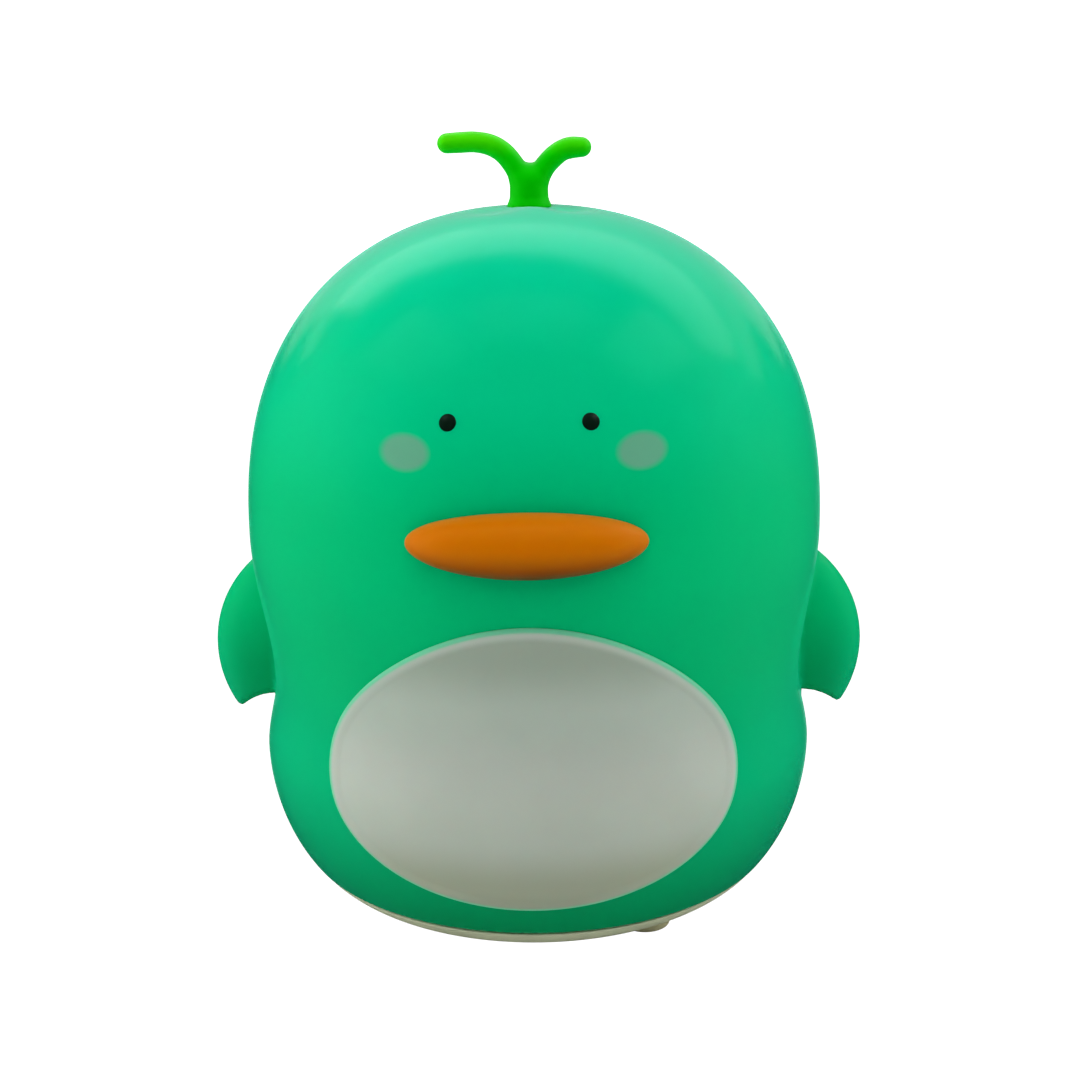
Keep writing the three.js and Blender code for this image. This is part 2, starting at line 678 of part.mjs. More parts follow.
// A side-pushed switch; the plunger runs in its front.
function tactSwitchBody() {
  const [front, half, top] = [41.5, 3, 2 * PORT_Z - PART_Z];
  return cut(
    block(BUTTON.x - half, BUTTON.x + half, front - 3.6, front, PART_Z, top),
    rodY(PLUNGER.r + SNUG, front - 1.6, front + 1, BUTTON.x, PORT_Z),
  );
}

function tactPlunger() {
  return rodY(PLUNGER.r, PLUNGER.back, PLUNGER.front, BUTTON.x, PORT_Z);
}

function buttonCap() {
  const { x, r, front, back, flange, flangeR } = BUTTON;
  return joined(
    rodY(r, back, front - 0.4, x, PORT_Z, 20),
    rodY(r - 0.4, back, front, x, PORT_Z, 20),
    rodY(flangeR, back, back + flange, x, PORT_Z, 20),
  );
}

function chargeLightPipe() {
  return rodY(LIGHT_PIPE.r, LIGHT_PIPE.back, LIGHT_PIPE.front, LIGHT_PIPE.x, PORT_Z);
}

function chargeLed() {
  const { x } = LIGHT_PIPE;
  return block(x - 1.2, x + 1.2, 40.2, 41.5, PART_Z, PORT_Z + 1);
}

// A spring inside a small can that closes a contact when the bird is patted.
function vibrationSensor() {
  const [r, length] = [2.5, 10];
  const can = new THREE.CylinderGeometry(r, r, length, ROD_SIDES).rotateZ(Math.PI / 2);
  return solidOf(can.translate(-6, 25, PART_Z + r));
}

// A chip with legs down both long sides, length along Y.
function chip(x, y, width, length, legs) {
  const [half, long] = [width / 2, length / 2];
  let body = block(x - half, x + half, y - long, y + long, PART_Z + 0.2, PART_Z + 1.6);
  for (let i = 0; i < legs; i += 1) {
    const at = y - long + length * (i + 0.5) / legs;
    const leg = block(x - half - 0.9, x + half + 0.9, at - 0.2, at + 0.2, PART_Z, PART_Z + 0.6);
    body = body.add(leg);
  }
  return body;
}

const SOCKET = { halfWidth: 3, front: 14.4, back: 18.8, height: 4.2 };
const PLUG = { halfWidth: 2.4, front: 11.2, back: 16.6, halfHeight: 1.2, z: PART_Z + 2.2 };

function batterySocket() {
  const { halfWidth, front, back, height } = SOCKET;
  const hollow = { w: PLUG.halfWidth + SNUG, h: PLUG.halfHeight + SNUG };
  return cut(
    block(-halfWidth, halfWidth, front, back, PART_Z, PART_Z + height),
    block(-hollow.w, hollow.w, front - 1, PLUG.back + GAP, PLUG.z - hollow.h, PLUG.z + hollow.h),
  );
}

function batteryPlug() {
  const { halfWidth, front, back, halfHeight, z } = PLUG;
  return block(-halfWidth, halfWidth, front, back, z - halfHeight, z + halfHeight);
}

// A soft-cornered pouch cell with its folded top seam.
function batteryCell() {
  const { x, y, width, length, z, height } = CELL;
  const seamY = y + length / 2;
  return joined(
    raised(roundedRect(width, length - 2, 2.4, x, y - 1), z, z + height),
    block(x - width / 2 + 3, x + width / 2 - 3, seamY - 3, seamY, z + height / 2 - 0.8, z + height / 2 + 0.8),
  );
}

function batteryPad() {
  const { x, y, width, length, z } = CELL;
  return raised(roundedRect(width - 8, length - 10, 1.5, x, y), RIM.z + FLOOR + SNUG, z - SNUG);
}

// One lead from the cell's seam, round and up into the plug.
function batteryLead(x) {
  const start = CELL.y + CELL.length / 2 + SNUG;
  const cellZ = CELL.z + CELL.height / 2;
  return tube([
    [x, start, cellZ],
    [x, start + 1.2, cellZ + 0.6],
    [x, start + 1.7, cellZ + 3.2],
    [x, start + 2, PLUG.z - 0.6],
    [x, PLUG.front - SNUG, PLUG.z],
  ], 0.55);
}

const LAMP_SOCKET = { x: 4, y: 26, half: 2.2, height: 3.2 };

function lampSocket() {
  const { x, y, half, height } = LAMP_SOCKET;
  return cut(
    block(x - half, x + half, y - half, y + half, PART_Z, PART_Z + height),
    rodZ(1.2, PART_Z + height - 1.2, PART_Z + height + 1, x, y),
  );
}

// The lead from the main board up through the deck to the lamp board.
function lampLead() {
  const bottom = PART_Z + LAMP_SOCKET.height - 1;
  const { x, y } = LED_LEAD_HOLE;
  return tube([
    [LAMP_SOCKET.x, LAMP_SOCKET.y, bottom],
    [LAMP_SOCKET.x, LAMP_SOCKET.y - 0.3, bottom + 2.2],
    [x, (LAMP_SOCKET.y + y) / 2, DECK.z - 1.9],
    [x, y + 0.4, DECK.z],
    [x, y, LED_BOARD.z - GAP],
  ], 0.9);
}

// ---- Assembly ----

const assembly = new THREE.Group();
assembly.position.y = AXIS_Y;

function piece(name, shape, look) {
  const geometry = shape instanceof THREE.BufferGeometry ? shape : geometryOf(shape);
  const mesh = new THREE.Mesh(geometry, look);
  mesh.name = name;
  assembly.add(mesh);
}

piece('body_skin', bodySkin(), GREEN_SILICONE);
piece('belly_patch', bellyPatch(), CREAM_SILICONE);
piece('beak', beak(), ORANGE_SILICONE);
piece('eye_left', eye(EYE.left), BLACK_SILICONE);
piece('eye_right', eye(EYE.right), BLACK_SILICONE);
piece('sprout', sprout(), SPROUT_SILICONE);

piece('base_pan', basePan(), CREAM_PLASTIC);
piece('deck', deck(), WHITE_PLASTIC);
footPlaces().forEach(([x, y], i) => {
  piece(`foot_${i + 1}`, foot(x, y), FOOT_RUBBER);
  piece(`base_screw_${i + 1}`, baseScrew(x, y), STEEL);
});

piece('diffuser_dome', diffuserDome(), DIFFUSER);
piece('led_board', ledBoard(), WHITE_LAMINATE);
for (let i = 0; i < LEDS.count; i += 1) {
  piece(`led_${i + 1}`, led(i), LED_CASE);
}
LED_SCREWS.forEach(([x, y], i) => {
  const { headR, head, shankR, length } = LED_SCREW;
  const seat = LED_BOARD.z + LED_BOARD.thickness + SNUG;
  piece(`led_board_screw_${i + 1}`, screw(x, y, seat, -1, headR, head, shankR, length), STEEL);
});

piece('main_board', mainBoard(), LAMINATE);
BOARD_SCREWS.forEach(([x, y], i) => {
  const { headR, head, shankR, length } = BOARD_SCREW;
  piece(`main_board_screw_${i + 1}`, screw(x, y, PART_Z, -1, headR, head, shankR, length), STEEL);
});
piece('usb_shell', usbShell(), STEEL);
piece('usb_tongue', usbTongue(), BLACK_PLASTIC);
piece('tact_switch_body', tactSwitchBody(), BLACK_PLASTIC);
piece('tact_plunger', tactPlunger(), BLACK_PLASTIC);
piece('button_cap', buttonCap(), WHITE_PLASTIC);
piece('charge_led', chargeLed(), LED_CASE);
piece('charge_light_pipe', chargeLightPipe(), CLEAR_PLASTIC);
piece('vibration_sensor', vibrationSensor(), STEEL);
piece('control_chip', chip(-6, 33, 3.9, 4.9, 4), BLACK_PLASTIC);
piece('charge_chip', chip(2.5, 33.5, 2.2, 2.9, 3), BLACK_PLASTIC);
piece('battery_socket', batterySocket(), WHITE_PLASTIC);
piece('battery_plug', batteryPlug(), WHITE_PLASTIC);
piece('battery_cell', batteryCell(), POUCH);
piece('battery_pad', batteryPad(), PAD_FOAM);
piece('battery_lead_red', batteryLead(-1), RED_WIRE);
piece('battery_lead_black', batteryLead(1), BLACK_WIRE);
piece('lamp_socket', lampSocket(), WHITE_PLASTIC);
piece('lamp_lead', lampLead(), BLACK_WIRE);

export default assembly;
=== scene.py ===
"""The looks of a soft silicone bird night light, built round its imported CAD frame.

Shapes are worked out in millimetres from the middle of the body's axis: +Z up, the bird faces -Y.
"""

import math

import bpy
import numpy as np
from mathutils import Matrix, Vector


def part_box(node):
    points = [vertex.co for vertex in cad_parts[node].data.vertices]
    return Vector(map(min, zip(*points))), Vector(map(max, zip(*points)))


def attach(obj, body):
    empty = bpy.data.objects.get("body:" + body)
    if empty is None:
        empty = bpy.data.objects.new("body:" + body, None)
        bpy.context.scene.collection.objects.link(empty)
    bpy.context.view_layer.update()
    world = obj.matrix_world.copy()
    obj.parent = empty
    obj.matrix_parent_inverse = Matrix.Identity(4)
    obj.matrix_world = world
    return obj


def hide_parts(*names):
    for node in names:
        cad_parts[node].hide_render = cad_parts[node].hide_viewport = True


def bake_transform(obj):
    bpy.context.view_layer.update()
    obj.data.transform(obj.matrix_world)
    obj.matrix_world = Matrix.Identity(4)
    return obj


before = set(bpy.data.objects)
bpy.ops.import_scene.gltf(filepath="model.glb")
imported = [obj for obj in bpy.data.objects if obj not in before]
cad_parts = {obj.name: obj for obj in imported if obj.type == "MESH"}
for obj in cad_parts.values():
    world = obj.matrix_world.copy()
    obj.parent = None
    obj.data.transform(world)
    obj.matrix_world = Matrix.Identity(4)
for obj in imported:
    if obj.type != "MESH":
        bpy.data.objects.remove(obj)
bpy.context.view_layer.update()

MM = 0.001


def middle_of(node):
    """The middle of a CAD node in millimetres, in the frame."""
    low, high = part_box(node)
    return (low + high) / 2 / MM


AXIS_Y = middle_of("body_skin").y

# ---- Driving dimensions, which follow the frame's ----

RIM = {"z": 2.0, "r": 34.8}
HIP = {"z": 28.0, "r": 50.8}
WAIST = {"z": 41.0, "r": 48.8}
HEAD = {"z": 68.7, "r": 52.0}
CROWN_Z = 125.6
HIP_POWER = 1.88
DOME_HEIGHT_POWER = 2.34
DOME_RADIUS_POWER = 2.2

SKIN_FOOT_Z = 7.5
SKIN_WALL = 2.5
SKIN_MOUTH_R = 41.5
SKIN_COLLAR_TOP = 20.0
CROWN_BOSS_R = 16.0
CROWN_BOSS_Z = CROWN_Z - 7.0

BELLY = {"z": 38.9, "half_width": 33.8, "half_height": 24.95, "egg": 0.18}
BEAK = {"z": 76.9, "half_angle": 0.372, "half_height": 5.2, "reach": 5.4}
EYE = {"r": 1.65, "depth": 0.8, "proud": 0.35}
WING = {"x": 39.7, "y": 6.0, "z": 42.8, "half_width": 22.1, "half_height": 22.4, "depth": 9.5}
WING_COVE = {"x": 48.7, "z": 24.7, "r": 10.4, "fillet": 1.7}
WING_ROOT = {"low": 46, "high": 60, "fillet": 0.35, "fillet_gain": 2.6}

SPROUT = {
    "foot_z": 125.2, "foot_r": 3.45, "ball_r": 3.55, "socket_r": 3.75,
    "stem_top": 130.4, "top_r": 3.35, "top_drop": 0.95,
}
SPROUT_FLARE = {"z": CROWN_Z - 0.3, "r": 3.1, "thickness": 0.6}

PANEL = {"half_width": 16.0, "top": 20.0, "corner": 6.0, "inset": 0.6, "gap": 0.4, "wall": 1.2}
PORT_Z = 14.1
USB = {
    "x": -6.5, "width": 8.94, "height": 3.26, "wall": 0.3, "front": 46.0, "back": 38.65,
    "gap": 0.3, "hole_corner": 1.9,
}
BUTTON = {"x": 7.5, "r": 3.2, "front": 46.9, "back": 42.4, "flange": 0.6, "flange_r": 3.7, "gap": 0.2}
PIPE = {"x": 1.15, "r": 1.1, "front": 46.8, "back": 42.4, "edge": 0.3, "gap": 0.2}
COLLAR = {"r": 41.2, "inner": 39.4, "top": 20.0}
FLANGE_TOP = 7.2
FEET = {"ring_r": 32.0, "first_deg": 37.0, "count": 3, "r": 4.6}
DECK = {"z": 20.3, "thickness": 2.0, "r": 41.0}
DOME = {"z": 22.6, "r": 28.0, "height": 30.0, "wall": 1.5, "flange_r": 31.0, "flange": 1.4}


# ---- The body's round shape ----

def body_profile(grow=0.0):
    """Radius and height up the outside of the body, grown by grow."""
    def eased(t):
        return t * t * (3 - 2 * t)

    s = 1 - np.cos(np.linspace(0, math.pi / 2, 70))
    r = [RIM["r"] + (HIP["r"] - RIM["r"]) * (1 - (1 - s) ** HIP_POWER) ** (1 / HIP_POWER)]
    z = [RIM["z"] + (HIP["z"] - RIM["z"]) * s]
    for low, high in ((HIP, WAIST), (WAIST, HEAD)):
        t = np.linspace(0, 1, 40)[1:]
        r.append(low["r"] + (high["r"] - low["r"]) * eased(t))
        z.append(low["z"] + (high["z"] - low["z"]) * t)
    s = np.sin(np.linspace(0, math.pi / 2, 110))[1:]
    r.append(HEAD["r"] * np.maximum(1 - s ** DOME_HEIGHT_POWER, 0) ** (1 / DOME_RADIUS_POWER))
    z.append(HEAD["z"] + (CROWN_Z - HEAD["z"]) * s)
    r, z = np.concatenate(r), np.concatenate(z)
    slope_r, slope_z = np.gradient(r), np.gradient(z)
    slope_r[-1], slope_z[-1] = -1, 0
    length = np.hypot(slope_r, slope_z)
    return np.column_stack([np.maximum(r + slope_z / length * grow, 0), z - slope_r / length * grow])


BODY = body_profile()


def body_radius(z):
    return np.interp(z, BODY[:, 1], BODY[:, 0])


class Lathed:
    """The distance from a solid of revolution, negative inside, looked up in a table of its section."""

    STEP = 0.25

    def __init__(self, outline, soften=0.0):
        outline = np.asarray(outline, float)
        low, high = outline.min(0) - 9, outline.max(0) + 9
        self.low = np.array([-1.0, low[1]])
        self.size = np.ceil((high - self.low) / self.STEP).astype(int) + 1
        lines = [self.low[i] + self.STEP * np.arange(self.size[i]) for i in (0, 1)]
        r, z = np.meshgrid(*lines, indexing="ij")
        nearest = np.full(r.shape, 1e9)
        inside = np.zeros(r.shape, bool)
        starts, ends = outline, np.roll(outline, -1, 0)
        for (r0, z0), (r1, z1) in zip(starts, ends):
            if not (r0 < 1e-9 and r1 < 1e-9):
                run = max((r1 - r0) ** 2 + (z1 - z0) ** 2, 1e-12)
                t = np.clip(((r - r0) * (r1 - r0) + (z - z0) * (z1 - z0)) / run, 0, 1)
                gap = (r - r0 - t * (r1 - r0)) ** 2 + (z - z0 - t * (z1 - z0)) ** 2
                np.minimum(nearest, gap, out=nearest)
            if z0 != z1:
                crosses = (z0 > z) != (z1 > z)
                inside ^= crosses & (np.abs(r) < r0 + (z - z0) / (z1 - z0) * (r1 - r0))
        table = np.sqrt(nearest)
        table[inside] *= -1
        for _ in range(int(round((soften / self.STEP) ** 2))):
            wide = np.pad(table, 1, "edge")
            table = (wide[:-2, 1:-1] + wide[2:, 1:-1] + wide[1:-1, :-2] + wide[1:-1, 2:] + 4 * table) / 8
        self.table = table

    def __call__(self, p):
        r = np.hypot(p[:, 0], p[:, 1])
        u = np.clip((np.column_stack([r, p[:, 2]]) - self.low) / self.STEP, 0, self.size - 1.001)
        i = u.astype(int)
        f = u - i
        a, b = self.table[i[:, 0], i[:, 1]], self.table[i[:, 0] + 1, i[:, 1]]
        c, d = self.table[i[:, 0], i[:, 1] + 1], self.table[i[:, 0] + 1, i[:, 1] + 1]
        near, far = a * (1 - f[:, 0]) + b * f[:, 0], c * (1 - f[:, 0]) + d * f[:, 0]
        return near * (1 - f[:, 1]) + far * f[:, 1]


# ---- Distances and how they combine ----

def union(a, b, k):
    """The nearer of two distances, with a fillet about k wide."""
    h = np.clip(0.5 + 0.5 * (b - a) / k, 0, 1)
    return b + (a - b) * h - k * h * (1 - h)


def common(a, b, k):
    return -union(-a, -b, k)


def minus(a, b, k):
    return -union(-a, b, k)


def rod(p, x, y, r, low, high):
    """An upright rod."""
    return np.maximum(np.hypot(p[:, 0] - x, p[:, 1] - y) - r, np.maximum(low - p[:, 2], p[:, 2] - high))


def rounded_rect(u, v, half_u, half_v, corner):
    a, b = np.abs(u) - half_u + corner, np.abs(v) - half_v + corner
    return np.hypot(np.maximum(a, 0), np.maximum(b, 0)) + np.minimum(np.maximum(a, b), 0) - corner


def capsule(p, start, end, r0, r1, flat=1.0):
    """A rod with round ends from start to end; flat above 1 widens it in y."""
    q = p * [1, 1 / flat, 1]
    a, b = np.array(start, float), np.array(end, float)
    t = np.clip((q - a) @ (b - a) / ((b - a) @ (b - a)), 0, 1)
    return np.linalg.norm(q - a - t[:, None] * (b - a), axis=1) - (r0 + (r1 - r0) * t)


# ---- Meshes from distances ----

def slopes(field, points, reach):
    out = np.empty_like(points)
    for axis in range(3):
        offset = np.zeros(3)
        offset[axis] = reach
        out[:, axis] = (field(points + offset) - field(points - offset)) / (2 * reach)
    return out


def grid_line(low, high, step, fine):
    """Grid positions from low to high, closer together from fine's start to its end."""
    if fine is None:
        return np.arange(low, high + step, step)
    start, end, small = fine
    before = np.arange(start - step, low - step, -step)[::-1]
    return np.concatenate([before, np.arange(start, end, small), np.arange(end, high + step, step)])


def skin_of(field, low, high, step, relax=4, fine=(None, None, None)):
    """Vertices, quads and normals of the surface where a distance is zero, on a grid of that step.

    fine gives, for each axis, the start, end and step of a stretch that needs a closer grid.
    """
    axes = [grid_line(low[i], high[i], step, fine[i]) for i in range(3)]
    size = np.array([len(line) for line in axes])
    reach = step / 4
    step = min([step] + [stretch[2] for stretch in fine if stretch])
    values = np.empty(size, np.float32)
    grid_y, grid_z = np.meshgrid(axes[1], axes[2], indexing="ij")
    for i, x in enumerate(axes[0]):
        points = np.column_stack([np.full(grid_y.size, x), grid_y.ravel(), grid_z.ravel()])
        values[i] = field(points).reshape(grid_y.shape)
    inside = values < 0
    near = np.zeros(size - 1, np.int8)
    corners = [(i, j, k) for i in (0, 1) for j in (0, 1) for k in (0, 1)]
    for i, j, k in corners:
        near += inside[i:size[0] - 1 + i, j:size[1] - 1 + j, k:size[2] - 1 + k]
    cells = np.argwhere((near > 0) & (near < 8))
    index = np.full(size - 1, -1, np.int64)
    index[tuple(cells.T)] = np.arange(len(cells))
    total = np.zeros((len(cells), 3))
    count = np.zeros(len(cells))
    for a in corners:
        for axis in range(3):
            if a[axis]:
                continue
            b = tuple(1 if n == axis else a[n] for n in range(3))
            va = values[tuple((cells + a).T)].astype(float)
            vb = values[tuple((cells + b).T)].astype(float)
            cut = (va < 0) != (vb < 0)
            t = np.where(cut, va / np.where(cut, va - vb, 1), 0)
            place = cells + np.array(a, float)
            place[:, axis] += t
            total[cut] += place[cut]
            count[cut] += 1
    middle = total / count[:, None]
    vertices = np.column_stack([np.interp(middle[:, i], np.arange(size[i]), axes[i]) for i in range(3)])
    quads = []
    for axis in range(3):
        u, v = (axis + 1) % 3, (axis + 2) % 3
        edges = np.argwhere(np.diff(inside, axis=axis))
        for side in (u, v):
            edges = edges[(edges[:, side] > 0) & (edges[:, side] < size[side] - 1)]
        ring = []
        for du, dv in ((-1, -1), (0, -1), (0, 0), (-1, 0)):
            cell = edges.copy()
            cell[:, u] += du
            cell[:, v] += dv
            ring.append(index[tuple(cell.T)])
        ring = np.column_stack(ring)
        leaving = inside[tuple(edges.T)]
        ring[~leaving] = ring[~leaving][:, ::-1]
        quads.append(ring)
    quads = np.concatenate(quads)
    links = np.concatenate([quads[:, [i, (i + 1) % 4]] for i in range(4)])

    def settle(points):
        distance = field(points)
        slope = slopes(field, points, step * 0.15)
        move = slope * (distance / np.maximum((slope ** 2).sum(1), 0.2))[:, None]
        return points - np.clip(move, -step / 2, step / 2)

    for _ in range(2):
        vertices = settle(vertices)
    for _ in range(relax):
        middle = np.zeros_like(vertices)
        number = np.zeros(len(vertices))
        for here, there in (links.T, links.T[::-1]):
            np.add.at(middle, here, vertices[there])
            np.add.at(number, here, 1)
        vertices = settle(vertices + (middle / number[:, None] - vertices) * 0.5)
    vertices = settle(vertices)
    normals = slopes(field, vertices, reach)
    normals /= np.linalg.norm(normals, axis=1)[:, None]
    return vertices, quads, normals


def piece(name, vertices, faces, body, slot, node, normals=None):
    """A smooth piece in place of a CAD node, from vertices in millimetres round the axis."""
    mesh = bpy.data.meshes.new(name)
    placed = (np.asarray(vertices, float) + [0, AXIS_Y, 0]) * MM
    mesh.from_pydata(placed.tolist(), [], [tuple(f) for f in np.asarray(faces, dtype=object).tolist()])
    mesh.validate()
    mesh.shade_smooth()
    if normals is not None:
        mesh.normals_split_custom_set_from_vertices(normals.tolist())
    thing = bpy.data.objects.new(name, mesh)
    bpy.context.scene.collection.objects.link(thing)
    mesh.materials.append(MATERIALS[slot])
    if body:
        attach(thing, body)
    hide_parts(node)
    return thing


def skinned(name, body, slot, node, *grid, **options):
    """A piece whose surface is where a distance is zero; see skin_of for the rest."""
    vertices, quads, normals = skin_of(*grid, **options)
    return piece(name, vertices, quads, body, slot, node, normals)


def grid_faces(rows, columns):
    """Quads between rings of vertices stored one ring after another."""
    faces = []
    for i in range(rows - 1):
        for j in range(columns):
            k, n = i + 1, (j + 1) % columns
            faces.append((i * columns + j, i * columns + n, k * columns + n, k * columns + j))
    return faces


def capped(rows, columns):
    """Faces of a closed solid from rings of vertices, with a flat cap on the first and last ring."""
    faces = [f[::-1] for f in grid_faces(rows, columns)]
    faces.append(tuple(range(columns)))
    faces.append(tuple((rows - 1) * columns + j for j in range(columns))[::-1])
    return faces


def lathe(section, sides=128):
    """Vertices and faces of a closed solid of revolution from (radius, height), outside going up."""
    section = np.asarray(section, float)
    around = np.linspace(0, 2 * math.pi, sides, endpoint=False)
    vertices, rings = [], []
    for r, z in section:
        if r < 1e-6:
            rings.append([len(vertices)])
            vertices.append((0, 0, z))
        else:
            rings.append(list(range(len(vertices), len(vertices) + sides)))
            vertices += [(r * math.cos(a), r * math.sin(a), z) for a in around]
    faces = []
    for a, b in zip(rings, rings[1:]):
        for j in range(sides):
            n = (j + 1) % sides
            if len(a) == 1 and len(b) > 1:
                faces.append((a[0], b[n], b[j]))
            elif len(b) == 1 and len(a) > 1:
                faces.append((a[j], a[n], b[0]))
            elif len(a) > 1:
                faces.append((a[j], a[n], b[n], b[j]))
    return np.array(vertices), faces


def rounded(points, radius, steps=5):
    """An outline with its inner corners rounded; the two ends stay as they are."""
    points = [np.array(p, float) for p in points]
    out = [points[0]]
    for before, corner, after in zip(points, points[1:], points[2:]):
        a, b = before - corner, after - corner
        reach = min(radius, np.linalg.norm(a) * 0.45, np.linalg.norm(b) * 0.45)
        start = corner + a / np.linalg.norm(a) * reach
        end = corner + b / np.linalg.norm(b) * reach
        for t in np.linspace(0, 1, steps):
            out.append((1 - t) ** 2 * start + 2 * t * (1 - t) * corner + t * t * end)
    out.append(points[-1])
    return out


# ---- Materials ----

class Surface:
    """A Principled material and the nodes that feed it."""

    def __init__(self, name, **settings):
        self.material = bpy.data.materials.new(name)
        self.material.use_nodes = True
        self.tree = self.material.node_tree
        self.shader = self.tree.nodes["Principled BSDF"]
        for socket, value in settings.items():
            self.shader.inputs[socket.replace("_", " ")].default_value = value
        self.place = self.node("ShaderNodeTexCoord").outputs["Object"]

    def node(self, kind, **settings):
        made = self.tree.nodes.new(kind)
        for key, value in settings.items():
            setattr(made, key, value)
        return made

    def link(self, source, target):
        self.tree.links.new(source, target)

    def math(self, operation, a, b=None, clamp=False):
        made = self.node("ShaderNodeMath", operation=operation, use_clamp=clamp)
        for i, value in enumerate((a, b)):
            if value is None:
                continue
            if isinstance(value, (int, float)):
                made.inputs[i].default_value = value
            else:
                self.link(value, made.inputs[i])
        return made.outputs[0]

    def axes(self):
        split = self.node("ShaderNodeSeparateXYZ")
        self.link(self.place, split.inputs[0])
        return split.outputs

    def ranged(self, value, low, high, out_low=0.0, out_high=1.0, smooth=True):
        made = self.node("ShaderNodeMapRange")
        made.interpolation_type = "SMOOTHSTEP" if smooth else "LINEAR"
        self.link(value, made.inputs["Value"])
        names = ("From Min", "From Max", "To Min", "To Max")
        for name, number in zip(names, (low, high, out_low, out_high)):
            made.inputs[name].default_value = number
        return made.outputs["Result"]

    def noise(self, size, detail=2.0, roughness=0.5, stretch=(1, 1, 1)):
        """Noise whose blotches are about size metres across."""
        mapping = self.node("ShaderNodeMapping")
        mapping.inputs["Scale"].default_value = stretch
        self.link(self.place, mapping.inputs["Vector"])
        made = self.node("ShaderNodeTexNoise")
        made.inputs["Scale"].default_value = 1 / size
        made.inputs["Detail"].default_value = detail
        made.inputs["Roughness"].default_value = roughness
        self.link(mapping.outputs[0], made.inputs["Vector"])
        return made.outputs["Fac"]

    def mix(self, factor, a, b):
        made = self.node("ShaderNodeMix", data_type="RGBA")
        self.link(factor, made.inputs["Factor"])
        for name, value in (("A", a), ("B", b)):
            target = next(s for s in made.inputs if s.name == name and s.type == "RGBA")
            if isinstance(value, tuple):
                target.default_value = (*value, 1)
            else:
                self.link(value, target)
        return next(s for s in made.outputs if s.type == "RGBA")

    def ramp(self, factor, stops):
        made = self.node("ShaderNodeValToRGB")
        ramp = made.color_ramp
        ramp.interpolation = "EASE"
        while len(ramp.elements) < len(stops):
            ramp.elements.new(0.5)
        for element, (place, colour) in zip(ramp.elements, stops):
            element.position = place
            element.color = (*colour, 1)
        self.link(factor, made.inputs["Fac"])
        return made.outputs["Color"]

    def colour(self, output):
        self.link(output, self.shader.inputs["Base Color"])

    def speckled(self, base, amount=0.06, size=0.0012):
        """The base colour with slight cloudiness: a little darker where the noise is low."""
        darker = tuple(c * (1 - amount) for c in base)
        return self.mix(self.ranged(self.noise(size), 0.35, 0.65), darker, base)

    def roughness(self, low, high, size=0.004):
        self.link(self.ranged(self.noise(size, 3), 0.3, 0.7, low, high), self.shader.inputs["Roughness"])

    def bump(self, height, size, depth, detail=2.0, stretch=(1, 1, 1)):
        """Fine relief: depth metres of noise, size metres across, added to a height if given."""
        made = self.node("ShaderNodeBump")
        made.inputs["Strength"].default_value = 1.0
        made.inputs["Distance"].default_value = depth
        value = self.noise(size, detail, stretch=stretch)
        if height is not None:
            value = self.math("ADD", value, height)
        self.link(value, made.inputs["Height"])
        self.link(made.outputs[0], self.shader.inputs["Normal"])


def linear(r, g, b):
    """An 8-bit sRGB colour as a linear one."""
    def one(c):
        c = c / 255
        return c / 12.92 if c <= 0.04045 else ((c + 0.055) / 1.055) ** 2.4
    return one(r), one(g), one(b)


CHEEK = {"x": 18.35, "shift": -0.4, "z": 90.5, "half_width": 4.0, "half_height": 2.9}
# Painted light and shade: the skin's green, dark at the bottom and pale at the crown, by height up the
# body.
SKIN_SHADE_COLOURS = [
    (0.02, linear(0, 140, 78)),
    (0.27, linear(0, 190, 125)),
    (0.42, linear(0, 196, 120)),
    (0.60, linear(0, 204, 126)),
    (0.80, linear(0, 210, 144)),
    (1.0, linear(0, 218, 164)),
]
CHEEK_COLOUR = linear(108, 182, 148)
# Where painted shade darkens the wings, most near the body and low down, in metres: at the root, towards
# the tip and downwards.
WING_SHADE = {"root": (0.0492, 0.0508), "tip": (0.0615, 0.0535), "down": (0.056, 0.038), "amount": 0.55}


